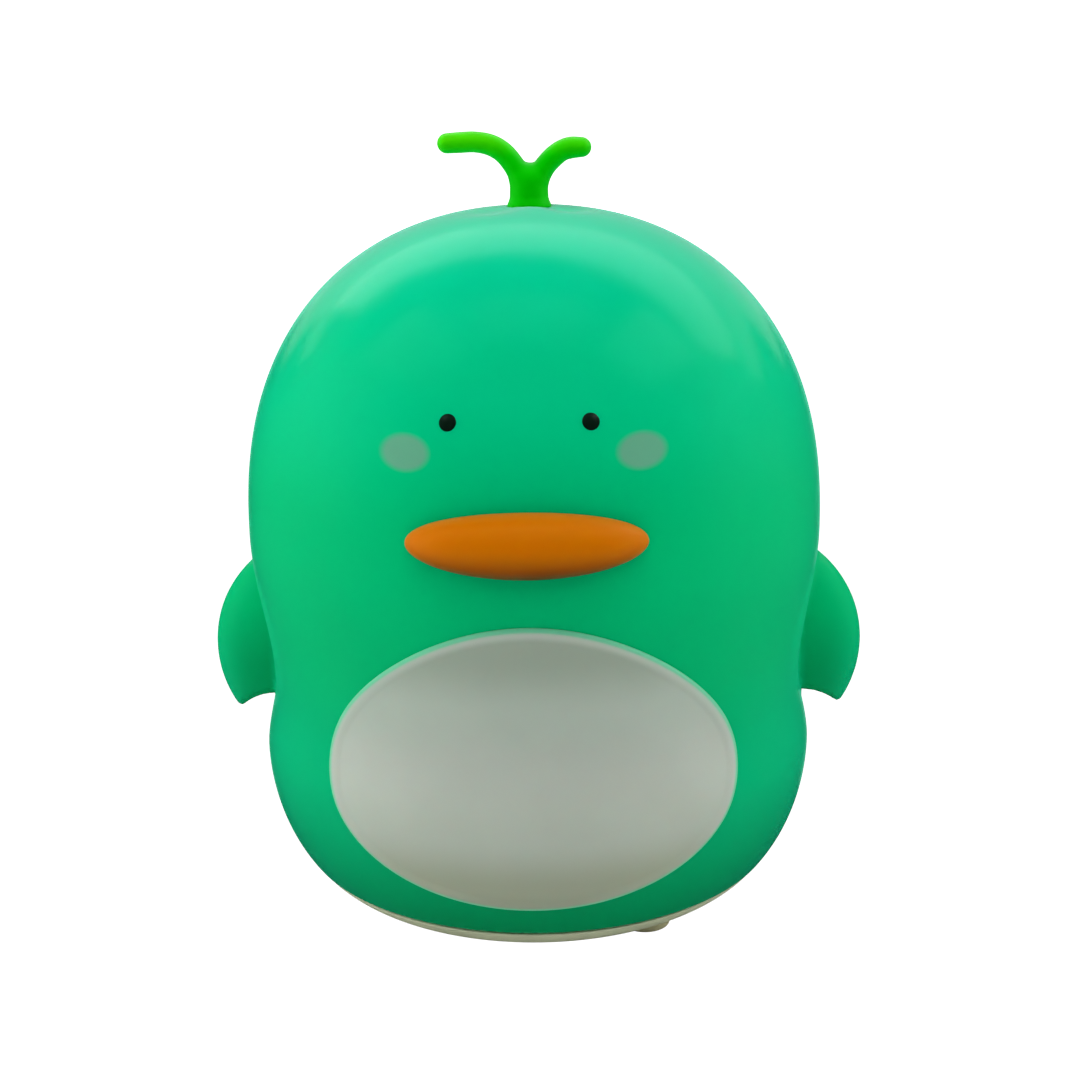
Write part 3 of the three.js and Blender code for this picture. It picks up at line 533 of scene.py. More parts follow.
def green_silicone():
    """Satin green with painted shade: darker lower down, paler towards the crown and darker low on the
    wings near their root; with two printed cheeks.
    """
    s = Surface("green_silicone_soft", IOR=1.42, Specular_Tint=(0.06, 1.0, 0.72, 1.0),
                Sheen_Weight=0.22, Sheen_Roughness=0.4, Sheen_Tint=(0.05, 1.0, 0.7, 1.0),
                Subsurface_Weight=0.25, Subsurface_Scale=0.004, Subsurface_Radius=(0.2, 1.0, 0.6))
    x, y, z = s.axes()
    height = s.ranged(z, 0.0, CROWN_Z * MM, smooth=False)
    # Painted light and shade: darker low on the body, paler towards the crown.
    base = s.ramp(height, SKIN_SHADE_COLOURS)
    clouds = s.ranged(s.noise(0.02, 3), 0.3, 0.7, 0.0, 0.10)
    base = s.mix(clouds, base, linear(0, 170, 110))
    aside = s.math("ABSOLUTE", s.math("SUBTRACT", x, CHEEK["shift"] * MM))
    across = s.math("DIVIDE", s.math("SUBTRACT", aside, CHEEK["x"] * MM), CHEEK["half_width"] * MM)
    up = s.math("DIVIDE", s.math("SUBTRACT", z, CHEEK["z"] * MM), CHEEK["half_height"] * MM)
    apart = s.math("SQRT", s.math("ADD", s.math("POWER", across, 2.0), s.math("POWER", up, 2.0)))
    blush = s.ranged(apart, 1.12, 0.72)
    wing = s.ranged(s.math("ABSOLUTE", x), *WING_SHADE["root"])
    inner = s.ranged(s.math("ABSOLUTE", x), *WING_SHADE["tip"], 0.15, 1.0)
    lower = s.math("MULTIPLY", s.ranged(z, *WING_SHADE["down"]), WING_SHADE["amount"])
    wing_root_shade = s.math("MULTIPLY", s.math("MULTIPLY", wing, inner), lower)
    # Painted shade on the wings, darkest low down next to the body.
    base = s.mix(wing_root_shade, base, linear(0, 138, 68))
    front = s.ranged(y, 0.0, -0.01)
    s.colour(s.mix(s.math("MULTIPLY", blush, front), base, CHEEK_COLOUR))
    s.roughness(0.17, 0.22, 0.006)
    s.bump(None, 0.0006, 0.000012, 3)
    return s.material


def plain(name, colour, clouds, roughness, relief, **settings):
    """One slightly clouded colour, with a range of roughness and fine relief."""
    s = Surface(name, **settings)
    s.colour(s.speckled(colour, *clouds))
    s.roughness(*roughness)
    s.bump(None, *relief)
    return s.material


def beak_silicone():
    """Orange silicone, with painted shade making it browner underneath."""
    s = Surface("orange_silicone_soft", IOR=1.42, Subsurface_Weight=0.2, Subsurface_Scale=0.003,
                Specular_Tint=(1.0, 0.8, 0.1, 1.0))
    # Painted shade: the orange turns dark brown towards the underside.
    lit = s.ranged(s.axes()[2], (BEAK["z"] - BEAK["half_height"]) * MM, (BEAK["z"] + 0.5) * MM)
    base = s.mix(lit, linear(100, 34, 0), linear(216, 117, 0))
    s.colour(s.mix(s.ranged(s.noise(0.008), 0.35, 0.65, 0.0, 0.1), base, linear(196, 100, 0)))
    s.roughness(0.3, 0.4)
    s.bump(None, 0.0005, 0.00001, 3)
    return s.material


BELLY_SHADE_COLOURS = [
    (0.0, linear(150, 158, 132)),
    (0.12, linear(172, 180, 156)),
    (0.3, linear(192, 202, 188)),
    (0.5, linear(195, 204, 192)),
    (0.7, linear(190, 204, 190)),
    (0.9, linear(168, 184, 166)),
]


def belly_silicone():
    """Cream silicone whose thin outer rim takes on the green round it, with painted shade low down and
    just under its top edge, and a painted highlight along the upper part of its bead.
    """
    s = Surface("cream_silicone_soft", IOR=1.42, Subsurface_Weight=0.2, Subsurface_Scale=0.003)
    rim = s.node("ShaderNodeAttribute", attribute_name="rim").outputs["Fac"]
    bead = s.node("ShaderNodeAttribute", attribute_name="bead").outputs["Fac"]
    # Painted shade: the cream darker towards the bottom of the patch and just under its top edge.
    height = s.ranged(s.axes()[2], 0.012, 0.064, smooth=False)
    shade = s.ramp(height, BELLY_SHADE_COLOURS)
    base = s.mix(s.ranged(s.noise(0.01), 0.35, 0.65, 0.0, 0.06), shade, linear(150, 164, 148))
    # Painted highlight: the bead paler the higher it runs up the patch.
    lit = s.math("MULTIPLY", bead, s.ranged(s.axes()[2], 0.03, 0.058, 0.12, 0.75))
    base = s.mix(lit, base, linear(200, 214, 200))
    s.colour(s.mix(rim, base, linear(112, 214, 168)))
    s.roughness(0.45, 0.55)
    s.bump(None, 0.0005, 0.00001, 3)
    return s.material


SPROUT_LIGHT_COLOURS = [(0.0, linear(0, 206, 0)), (0.6, linear(0, 214, 0)), (1.0, linear(84, 238, 0))]


def sprout_silicone():
    """Light green, with painted light making it paler and yellower towards the tops of the leaves."""
    s = Surface("sprout_silicone_soft", IOR=1.42, Subsurface_Weight=0.25, Subsurface_Scale=0.002,
                Specular_Tint=(0.12, 1.0, 0.05, 1.0))
    z = s.axes()[2]
    # Painted light: the green turns paler and yellower with height, up to the leaves' tops.
    base = s.ramp(s.ranged(z, 0.126, 0.1385, smooth=False), SPROUT_LIGHT_COLOURS)
    s.colour(s.mix(s.ranged(s.noise(0.003), 0.4, 0.7, 0.0, 0.08), base, linear(0, 176, 4)))
    s.roughness(0.38, 0.48, 0.003)
    s.bump(None, 0.0005, 0.00001, 3)
    return s.material


def moulded(name, colour, roughness, grain=0.000012, grain_size=0.0004, **settings):
    """Moulded plastic or rubber with a fine texture."""
    spread = (roughness - 0.05, roughness + 0.05)
    return plain(name, colour, (0.04, 0.01), spread, (grain_size, grain, 2), **settings)


def laminate(name, colour, track):
    """A circuit board: lacquer over copper tracks."""
    s = Surface(name, Coat_Weight=0.4)
    cells = s.node("ShaderNodeTexVoronoi", feature="DISTANCE_TO_EDGE", distance="CHEBYCHEV")
    cells.inputs["Scale"].default_value = 420
    s.link(s.place, cells.inputs["Vector"])
    tracks = s.ranged(cells.outputs["Distance"], 0.05, 0.12, 1.0, 0.0)
    s.colour(s.mix(tracks, s.speckled(colour, 0.06, 0.003), track))
    s.roughness(0.35, 0.5)
    s.bump(tracks, 0.0004, 0.00001, 2)
    return s.material


def foam(name, colour):
    s = Surface(name)
    pores = s.ranged(s.noise(0.0005, 3), 0.35, 0.6)
    s.colour(s.mix(pores, tuple(c * 0.5 for c in colour), colour))
    s.roughness(0.85, 0.95)
    s.bump(None, 0.0005, 0.0001, 3)
    return s.material


MATERIALS = {
    "green_silicone": green_silicone(),
    "cream_silicone": belly_silicone(),
    "orange_silicone": beak_silicone(),
    "black_silicone": plain(
        "black_silicone_soft", linear(6, 30, 18), (0.05, 0.008), (0.3, 0.4), (0.0005, 0.00001, 3),
        IOR=1.42,
    ),
    "sprout_silicone": sprout_silicone(),
    "cream_plastic": moulded("cream_plastic_moulded", linear(214, 218, 184), 0.42),
    "white_plastic": moulded("white_plastic_moulded", linear(236, 238, 232), 0.38),
    "diffuser_plastic": moulded(
        "diffuser_plastic_moulded", linear(246, 247, 242), 0.3, 0.00003, 0.0007, Subsurface_Weight=0.4,
        Subsurface_Scale=0.003,
    ),
    "foot_rubber": moulded("foot_rubber_moulded", linear(214, 210, 166), 0.75, 0.00003, 0.0005),
    "steel": plain(
        "steel_plated", linear(190, 192, 196), (0.08, 0.002), (0.24, 0.38, 0.0008),
        (0.0003, 0.000004, 2, (1, 1, 8)), Metallic=1.0,
    ),
    "green_laminate": laminate("green_laminate_board", linear(12, 96, 54), linear(30, 132, 78)),
    "white_laminate": laminate("white_laminate_board", linear(238, 240, 238), linear(222, 224, 220)),
    "led_case": moulded("led_case_moulded", linear(240, 226, 150), 0.25, 0.000004),
    "black_plastic": plain(
        "black_plastic_moulded", linear(26, 27, 29), (0.15, 0.0006), (0.45, 0.65, 0.0008),
        (0.00015, 0.000008, 2),
    ),
    "clear_plastic": plain(
        "clear_plastic_moulded", linear(230, 238, 238), (0.03, 0.001), (0.1, 0.2, 0.001),
        (0.0006, 0.000006), Transmission_Weight=0.6, IOR=1.49,
    ),
    "cell_pouch": plain(
        "cell_pouch_foil", linear(184, 188, 192), (0.08, 0.003), (0.28, 0.42),
        (0.002, 0.00012, 4, (1, 3, 1)), Metallic=0.7,
    ),
    "pad_foam": foam("pad_foam_open", linear(58, 61, 64)),
    "red_wire": moulded("red_wire_sleeve", linear(190, 30, 26), 0.4, 0.000006),
    "black_wire": moulded("black_wire_sleeve", linear(18, 18, 20), 0.4, 0.000006),
}


# ---- The cover ----

body = Lathed(np.vstack([[0, RIM["z"]], BODY]))


def chamber_outline():
    """The space inside the cover: a straight mouth, then one wall thinner than the outside."""
    inside = body_profile(-SKIN_WALL)
    kept = inside[(inside[:, 1] > SKIN_COLLAR_TOP + SKIN_WALL) & (inside[:, 1] < CROWN_BOSS_Z)]
    kept = kept[kept[:, 0] > CROWN_BOSS_R]
    straight = [[0, -1], [SKIN_MOUTH_R, -1], [SKIN_MOUTH_R, SKIN_COLLAR_TOP]]
    return np.vstack([straight, kept, [[CROWN_BOSS_R, CROWN_BOSS_Z], [0, CROWN_BOSS_Z]]])


chamber = Lathed(chamber_outline(), 0.5)


def wings(p):
    """Both wings: flat ellipsoids with a hollow scooped out behind each tip."""
    x, y, z = np.abs(p[:, 0]) - WING["x"], p[:, 1] - WING["y"], p[:, 2] - WING["z"]
    half = np.array([WING["half_width"], WING["depth"], WING["half_height"]])
    q = np.column_stack([x, y, z])
    near = np.linalg.norm(q / half, axis=1)
    distance = near * (near - 1) / np.maximum(np.linalg.norm(q / half ** 2, axis=1), 1e-6)
    cove = np.hypot(np.abs(p[:, 0]) - WING_COVE["x"], p[:, 2] - WING_COVE["z"]) - WING_COVE["r"]
    return minus(distance, cove, WING_COVE["fillet"])


# Two shallow dents and a slight ridge round the sprout's root: x, y, spread and depth.
CROWN_DENTS = [(6.2, -4.0, 2.7, 0.9), (-6.4, -5.6, 3.2, 0.55), (1.8, -8.0, 2.3, -0.25)]


def crown_dents(p):
    depth = np.zeros(len(p))
    for x, y, spread, deep in CROWN_DENTS:
        apart = ((p[:, 0] - x) ** 2 + (p[:, 1] - y) ** 2) / (2 * spread ** 2)
        depth += deep * np.exp(-apart)
    return depth * np.clip((p[:, 2] - CROWN_BOSS_Z) / 3, 0, 1)


def port_notch(p, grow):
    """The U-shaped opening at the back, open below."""
    half, top = PANEL["half_width"] + grow, PANEL["top"] + grow
    tall = 40.0
    face = rounded_rect(p[:, 0], p[:, 2] - top + tall, half, tall, PANEL["corner"] + grow)
    return np.maximum(face, 20 - p[:, 1])


def cover(p):
    up = np.clip((p[:, 2] - WING_ROOT["low"]) / (WING_ROOT["high"] - WING_ROOT["low"]), 0, 1)
    fillet = WING_ROOT["fillet"] + WING_ROOT["fillet_gain"] * up
    outside = union(body(p) + crown_dents(p), wings(p), fillet)
    shell = minus(outside, chamber(p), 0.5)
    shell = common(shell, SKIN_FOOT_Z - p[:, 2], 0.5)
    shell = minus(shell, port_notch(p, PANEL["gap"]), 0.9)
    socket = np.linalg.norm(p - [0, 0, SPROUT["foot_z"]], axis=1) - SPROUT["socket_r"]
    return minus(shell, socket, 0.3)


NOTCH_GRID = 0.65
skinned(
    "cover_skin", "cover", "green_silicone", "body_skin",
    cover, (-63.5, -54, 6), (63.5, 54, 127.5), 1.0,
    fine=((-18, 18, NOTCH_GRID), (40, 52, NOTCH_GRID), (6.5, 22, NOTCH_GRID)),
)


# ---- The belly, beak and eyes ----

def on_body(x, z, lift):
    """Points on the front of the body, lifted off it along the normal."""
    r = body_radius(z)
    y = -np.sqrt(np.maximum(r * r - x * x, 0))
    lean = (body_radius(z - 0.2) - body_radius(z + 0.2)) / 0.4
    out = np.column_stack([x / r, y / r, lean])
    out /= np.linalg.norm(out, axis=1)[:, None]
    return np.column_stack([x, y, z]) + out * np.asarray(lift)[:, None]


def belly():
    """A thin sheet let into the cover, with a rounded bead all round its edge."""
    sides = 220
    bead_width, bead, sheet, sunk = 1.1, 0.58, 0.34, -1.1
    inner = np.linspace(0, 1, 26)[1:] ** 0.9
    angle = np.linspace(0, 2 * math.pi, sides, endpoint=False)
    edge_x = BELLY["half_width"] * np.cos(angle) * (1 - BELLY["egg"] * np.sin(angle))
    edge_z = BELLY["half_height"] * np.sin(angle)
    along_x, along_z = np.gradient(edge_x), np.gradient(edge_z)
    length = np.hypot(along_x, along_z)
    in_x, in_z = -along_z / length, along_x / length
    rows, rim, ridge = [], [], []

    def row(inset, scale, lift, rim_here, ridge_here):
        x = (edge_x + in_x * inset) * scale
        z = (edge_z + in_z * inset) * scale + BELLY["z"]
        rows.append(on_body(x, z, np.full(sides, lift)))
        rim.extend([rim_here] * sides)
        ridge.extend([ridge_here] * sides)

    for t in inner:
        row(bead_width * 2.2, t, sheet, 0, 0)
    for t in np.linspace(0, 1, 9)[1:]:
        eased = t * t * (3 - 2 * t)
        row(bead_width * (2.2 - 1.3 * t), 1, sheet + (bead - sheet) * eased, 0, eased)
    for a in np.linspace(0, math.pi / 2, 8)[1:]:
        out = bead_width * 0.9 * (1 - math.sin(a))
        lift = bead * math.cos(a) ** 0.8 if a < 1.57 else 0
        tint = min(max(0.0, math.sin(a) - 0.15) / 0.35, 1.0)
        row(out, 1, lift, tint, 1)
    row(0.15, 1, sunk / 2, 1, 0)
    for scale in (1, 0.6, 0.2):
        row(0.6, scale, sunk, 0, 0)
    vertices = np.vstack([on_body(np.zeros(1), np.array([BELLY["z"]]), [sheet]), *rows])
    vertices = np.vstack([vertices, on_body(np.zeros(1), np.array([BELLY["z"]]), [sunk])])
    faces = [tuple(1 + v for v in f) for f in grid_faces(len(rows), sides)]
    last = 1 + (len(rows) - 1) * sides
    faces += [(0, 1 + (j + 1) % sides, 1 + j) for j in range(sides)]
    faces += [(len(vertices) - 1, last + j, last + (j + 1) % sides) for j in range(sides)]
    faces = [f[::-1] for f in faces]
    made = piece("belly_sheet", vertices, faces, "cover", "cream_silicone", "belly_patch")
    for name, values in (("rim", rim), ("bead", ridge)):
        attribute = made.data.attributes.new(name, "FLOAT", "POINT")
        attribute.data.foreach_set("value", np.array([0, *values, 0], np.float32))


def beak():
    """An ellipsoid bent round the body."""
    rows, sides = 61, 72
    middle = body_radius(BEAK["z"])
    vertices = []
    for i in range(rows):
        polar = math.pi * (0.004 + 0.992 * i / (rows - 1))
        angle = -BEAK["half_angle"] * math.cos(polar)
        for j in range(sides):
            around = 2 * math.pi * j / sides
            r = middle + BEAK["reach"] * math.sin(polar) * math.cos(around)
            z = BEAK["z"] + BEAK["half_height"] * math.sin(polar) * math.sin(around)
            vertices.append((r * math.sin(angle), -r * math.cos(angle), z))
    piece("beak_soft", vertices, capped(rows, sides), "cover", "orange_silicone", "beak")


def eye(node):
    """A flat bead on the surface, where the frame has it."""
    rows, sides = 33, 48
    x = middle_of(node).x
    z = middle_of(node).z
    r = body_radius(z)
    y = -math.sqrt(r * r - x * x)
    lean = (body_radius(z - 1) - body_radius(z + 1)) / 2
    out = Vector((x / r, y / r, lean)).normalized()
    turn = np.array(out.to_track_quat("Z", "Y").to_matrix())
    centre = np.array([x, y, z]) + np.array(out) * (EYE["proud"] - EYE["depth"])
    vertices = []
    for i in range(rows):
        polar = math.pi * (0.01 + 0.98 * i / (rows - 1))
        for j in range(sides):
            around = 2 * math.pi * j / sides
            ring = EYE["r"] * math.sin(polar)
            bead = [ring * math.cos(around), ring * math.sin(around), EYE["depth"] * math.cos(polar)]
            vertices.append(turn @ np.array(bead) + centre)
    piece(node + "_bead", vertices, capped(rows, sides), "cover", "black_silicone", node)


belly()
beak()
eye("eye_left")
eye("eye_right")


# ---- The sprout ----

# The middle line and half thickness of each leaf, from the stem out: x, z, radius.
LEFT_LEAF = [
    (-1.5, 130.4, 1.95), (-2.65, 132.45, 1.9), (-4.35, 134.5, 1.86), (-6.6, 135.85, 1.85),
    (-9.3, 136.4, 1.8), (-12.0, 136.35, 1.8), (-14.2, 136.25, 1.74),
]
RIGHT_LEAF = [
    (1.75, 130.3, 1.95), (2.95, 132.2, 1.9), (4.35, 133.65, 1.9), (5.9, 134.75, 1.85),
    (7.5, 135.2, 1.88), (9.3, 135.25, 1.72),
]
LEAF_FLAT = 1.35
LEAF_FILLET = 0.7
FLARE_FILLET = 1.2


def spline(points, steps):
    """A smooth curve through points, as a list of points."""
    p = np.array([2 * np.array(points[0]) - points[1], *points, 2 * np.array(points[-1]) - points[-2]])
    out = []
    for a, b, c, d in zip(p, p[1:], p[2:], p[3:]):
        for t in np.linspace(0, 1, steps, endpoint=False):
            out.append(0.5 * (2 * b + (c - a) * t + (2 * a - 5 * b + 4 * c - d) * t ** 2
                              + (3 * b - a - 3 * c + d) * t ** 3))
    out.append(p[-2])
    return out


LEAF_LINES = [spline(LEFT_LEAF, 4), spline(RIGHT_LEAF, 4)]


def sprout_shape(p):
    foot, top = (0, 0, SPROUT["foot_z"]), (0, 0, SPROUT["stem_top"] - SPROUT["top_drop"])
    distance = capsule(p, foot, top, SPROUT["foot_r"], SPROUT["top_r"])
    for line in LEAF_LINES:
        leaf = np.full(len(p), 1e9)
        for (x0, z0, r0), (x1, z1, r1) in zip(line, line[1:]):
            leaf = np.minimum(leaf, capsule(p, (x0, 0, z0), (x1, 0, z1), r0, r1, LEAF_FLAT))
        distance = union(distance, leaf, LEAF_FILLET)
    out = np.hypot(p[:, 0], p[:, 1]) - SPROUT_FLARE["r"]
    ring = np.hypot(out, p[:, 2] - SPROUT_FLARE["z"]) - SPROUT_FLARE["thickness"]
    distance = union(distance, ring, FLARE_FILLET)
    ball = np.linalg.norm(p - foot, axis=1) - SPROUT["ball_r"]
    return union(distance, ball, 0.3)


leaves = skinned(
    "sprout_soft", None, "sprout_silicone", "sprout",
    sprout_shape, (-18, -7, 120), (13, 7, 140), 0.28, relax=3,
)
# This keeps the crown from mirroring the leaves as a crisp streak.
leaves.visible_glossy = False
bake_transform(leaves)


# ---- The base ----

def foot_places():
    for i in range(FEET["count"]):
        angle = math.radians(FEET["first_deg"] + 360 * i / FEET["count"])
        yield FEET["ring_r"] * math.sin(angle), -FEET["ring_r"] * math.cos(angle)


BOARD_POSTS = [(-12, 13.5), (12, 13.5)]
LAMP_POSTS = [(-16, 0), (16, 0)]
LEAD_PLACE = (4, 17)
DECK_TOP = DECK["z"] + DECK["thickness"]
# Upright posts and holes: radius, lowest and highest point.
PAN_BOSS = (4.2, RIM["z"] + 1, 15)
BOARD_POST = (2.6, RIM["z"] + 1, 10.3)
BOARD_PILOT = (1.15, 5.5, 12)
FOOT_POCKET = (FEET["r"] + 0.3, 0, 3.2)
SCREW_HEAD_HOLE = (3.2, 0, 6.9)
SCREW_HOLE = (1.7, 0, 16)
DECK_BOSS = (3.2, 15.3, 20.8)
DECK_PILOT = (1.55, 10, 18.8)
LAMP_POST = (2.8, DECK_TOP - 0.5, 23.7)
LAMP_PILOT = (1.25, 19, 25)
LEAD_HOLE = (1.9, 19, 24)
PORT_POCKET = {"half_width": 13, "floor": 8.2, "top_wall": 1.2, "front_y": 25}


def pan_outline():
    flange = BODY[BODY[:, 1] < FLANGE_TOP]
    inner = COLLAR["inner"]
    return np.vstack([
        [[0, RIM["z"]]], flange, [[body_radius(FLANGE_TOP), FLANGE_TOP], [COLLAR["r"], FLANGE_TOP],
        [COLLAR["r"], COLLAR["top"]], [inner, COLLAR["top"]], [inner, 8], [inner - 1.9, 5.5],
        [33, RIM["z"] + 2], [0, RIM["z"] + 2]],
    ])


pan_shell = Lathed(pan_outline(), 0.35)
pan_room = Lathed([
    [0, 5.5], [COLLAR["inner"] - 1.9, 5.5], [COLLAR["inner"], 8], [COLLAR["inner"], 30], [0, 30],
], 0.35)


def base_pan(p):
    """The bottom casing: floor, flange, collar, bosses and the port panel."""
    x, y, z = p.T
    face = common(port_notch(p, 0), body(p) + PANEL["inset"], 0.7)
    face = np.maximum(face, np.maximum(RIM["z"] + 3 - z, PORT_POCKET["front_y"] - y))
    face = minus(face, pan_room(p), 0.3)
    pan = union(pan_shell(p), face, 0.3)
    pocket = np.maximum(PORT_POCKET["floor"] - z, z - PANEL["top"] + PORT_POCKET["top_wall"])
    pocket = np.maximum(np.abs(x) - PORT_POCKET["half_width"], pocket)
    pocket = np.maximum(pocket, PORT_POCKET["front_y"] - y)
    pocket = np.maximum(pocket, body(p) + PANEL["inset"] + PANEL["wall"])
    pan = minus(pan, pocket, 0.3)
    half_w, half_h = USB["width"] / 2 + USB["gap"], USB["height"] / 2 + USB["gap"]
    usb_hole = rounded_rect(x - USB["x"], z - PORT_Z, half_w, half_h, USB["hole_corner"])
    button_hole = np.hypot(x - BUTTON["x"], z - PORT_Z) - BUTTON["r"] - BUTTON["gap"]
    pipe_hole = np.hypot(x - PIPE["x"], z - PORT_Z) - PIPE["r"] - PIPE["gap"]
    holes = np.maximum(np.minimum(usb_hole, np.minimum(button_hole, pipe_hole)), 35 - y)
    pan = minus(pan, holes, 0.35)
    for place in foot_places():
        pan = union(pan, rod(p, *place, *PAN_BOSS), 0.4)
    for place in BOARD_POSTS:
        pan = union(pan, rod(p, *place, *BOARD_POST), 0.4)
        pan = minus(pan, rod(p, *place, *BOARD_PILOT), 0.2)
    for place in foot_places():
        pan = minus(pan, rod(p, *place, *FOOT_POCKET), 0.3)
        pan = minus(pan, rod(p, *place, *SCREW_HEAD_HOLE), 0.2)
        pan = minus(pan, rod(p, *place, *SCREW_HOLE), 0.2)
    return pan


PORTS_GRID = 0.36
skinned(
    "base_pan_moulded", "base", "cream_plastic", "base_pan",
    base_pan, (-46, -46, 1), (46, 52, 21.5), 0.75, relax=2,
    fine=((-18, 18, PORTS_GRID), (38, 51.5, PORTS_GRID), (7, 21.2, PORTS_GRID)),
)

DECK_LIP = {"inner": 37.6, "outer": 39.1, "z": 18.7}
deck_plate = Lathed([
    [0, DECK["z"]], [DECK_LIP["inner"], DECK["z"]], [DECK_LIP["inner"], DECK_LIP["z"]],
    [DECK_LIP["outer"], DECK_LIP["z"]], [DECK_LIP["outer"], DECK["z"]], [DECK["r"], DECK["z"]],
    [DECK["r"], DECK_TOP], [0, DECK_TOP],
], 0.4)


def deck(p):
    plate = deck_plate(p)
    for place in foot_places():
        plate = union(plate, rod(p, *place, *DECK_BOSS), 0.4)
    for place in LAMP_POSTS:
        plate = union(plate, rod(p, *place, *LAMP_POST), 0.4)
        plate = minus(plate, rod(p, *place, *LAMP_PILOT), 0.2)
    for place in foot_places():
        plate = minus(plate, rod(p, *place, *DECK_PILOT), 0.2)
    return minus(plate, rod(p, *LEAD_PLACE, *LEAD_HOLE), 0.3)


skinned(
    "deck_moulded", "base", "white_plastic", "deck",
    deck, (-43, -43, 14), (43, 43, 25), 0.75, relax=2,
)


def dome_section():
    """The lamp dome's section, from the inside top down, round the flange and up the outside."""
    angle = np.linspace(0, math.pi / 2, 40)
    foot = DOME["z"] + DOME["flange"]

    def arc(r, rise):
        return np.column_stack([r * np.maximum(np.cos(angle), 0) ** 0.8, foot + rise * np.sin(angle)])

    inner = arc(DOME["r"] - DOME["wall"], DOME["height"] - DOME["wall"])[::-1]
    inner[0, 0] = 0
    outer = arc(DOME["r"], DOME["height"])
    outer[-1, 0] = 0
    corners = [inner[-1], (DOME["r"] - DOME["wall"], DOME["z"]), (DOME["flange_r"], DOME["z"]),
               (DOME["flange_r"], foot), outer[0]]
    return np.vstack([inner[:-1], rounded(corners, 0.5), outer[1:]])


vertices, faces = lathe(dome_section())
piece("diffuser_dome_moulded", vertices, faces, "base", "diffuser_plastic", "diffuser_dome")


def foot_section():
    outline = [(0, 0), (FEET["r"], 0), (FEET["r"], 2.9), (3.0, 2.9), (3.0, 4.7), (0, 4.7)]
    return rounded(outline, 0.75, 7)


for number, (cx, cy) in enumerate(foot_places(), 1):
    vertices, faces = lathe(foot_section(), 64)
    node = f"foot_{number}"
    piece(node + "_rubber", vertices + [cx, cy, 0], faces, "base", "foot_rubber", node)


def lying(section, x, sides=64):
    """A lathed solid laid along Y at the ports' height: the section's height becomes depth."""
    vertices, faces = lathe(section, sides)
    turned = np.column_stack([vertices[:, 0] + x, vertices[:, 2], -vertices[:, 1] + PORT_Z])
    return turned, faces


def button_section():
    """A push button with a shallow dish in its face."""
    front, back, r = BUTTON["front"], BUTTON["back"], BUTTON["r"]
    outline = [(0, back), (BUTTON["flange_r"], back), (BUTTON["flange_r"], back + BUTTON["flange"]),
               (r, back + BUTTON["flange"]), (r, front)]
    side = rounded([*outline, (r - 0.7, front)], 0.35)
    dish = [(r * t, front - 0.28 * (1 - (t / 0.78) ** 2)) for t in np.linspace(0.78, 0, 12)]
    return [*side, *dish]


vertices, faces = lying(button_section(), BUTTON["x"])
piece("button_cap_moulded", vertices, faces, "button", "white_plastic", "button_cap")

PIPE_OUTLINE = [
    (0, PIPE["back"]), (PIPE["r"], PIPE["back"]), (PIPE["r"], PIPE["front"]), (0, PIPE["front"]),
]
vertices, faces = lying(rounded(PIPE_OUTLINE, PIPE["edge"]), PIPE["x"], 40)
piece("light_pipe_clear", vertices, faces, "base", "clear_plastic", "charge_light_pipe")


def usb_shell():
    """The socket's drawn-steel sleeve, closed behind."""
    sides = 72
    wall, front, back = USB["wall"], USB["front"], USB["back"]

    def loop(inset, y):
        half_w, half_h = USB["width"] / 2 - inset, USB["height"] / 2 - inset
        corner = half_h * 0.98
        points = []
        for a in np.linspace(0, 2 * math.pi, sides, endpoint=False) + 0.01:
            sx, sz = math.copysign(1, math.cos(a)), math.copysign(1, math.sin(a))
            points.append((USB["x"] + sx * (half_w - corner) + corner * math.cos(a), y,
                           PORT_Z + sz * (half_h - corner) + corner * math.sin(a)))
        return points

    rows = [
        loop(0.05, back), loop(0, back + 0.1), loop(0, front - 0.1), loop(0.1, front),
        loop(wall - 0.1, front), loop(wall, front - 0.1), loop(wall, back + 0.3),
    ]
    faces = capped(len(rows), sides)
    piece("usb_shell_steel", np.concatenate(rows), faces, "base", "steel", "usb_shell")


usb_shell()

# ---- The pieces that keep their CAD shape ----

EDGE_BEVELS = {
    "battery_cell": 0.8, "battery_pad": 0.2, "battery_plug": 0.25, "battery_socket": 0.25,
    "lamp_socket": 0.25, "control_chip": 0.12, "charge_chip": 0.1, "charge_led": 0.12,
    "tact_switch_body": 0.15, "usb_tongue": 0.15, "vibration_sensor": 0.3,
}
for name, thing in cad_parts.items():
    if thing.hide_render:
        continue
    for place in thing.material_slots:
        place.material = MATERIALS[place.material.name.split(".")[0]]
    if name in EDGE_BEVELS:
        bevel = thing.modifiers.new("edges", "BEVEL")
        bevel.width = EDGE_BEVELS[name] * MM
        bevel.segments = 3
        bevel.limit_method = "ANGLE"
        bevel.angle_limit = math.radians(40)

# ---- Camera ----

CAMERA = {
    "distance": 290.0, "height": 139.6, "pitch": 14.52, "yaw": 1.5, "roll": 0.95, "f_px": 1613.5,
    "shift_px": 5.2,
}
IMAGE_SIDE = 1080.0


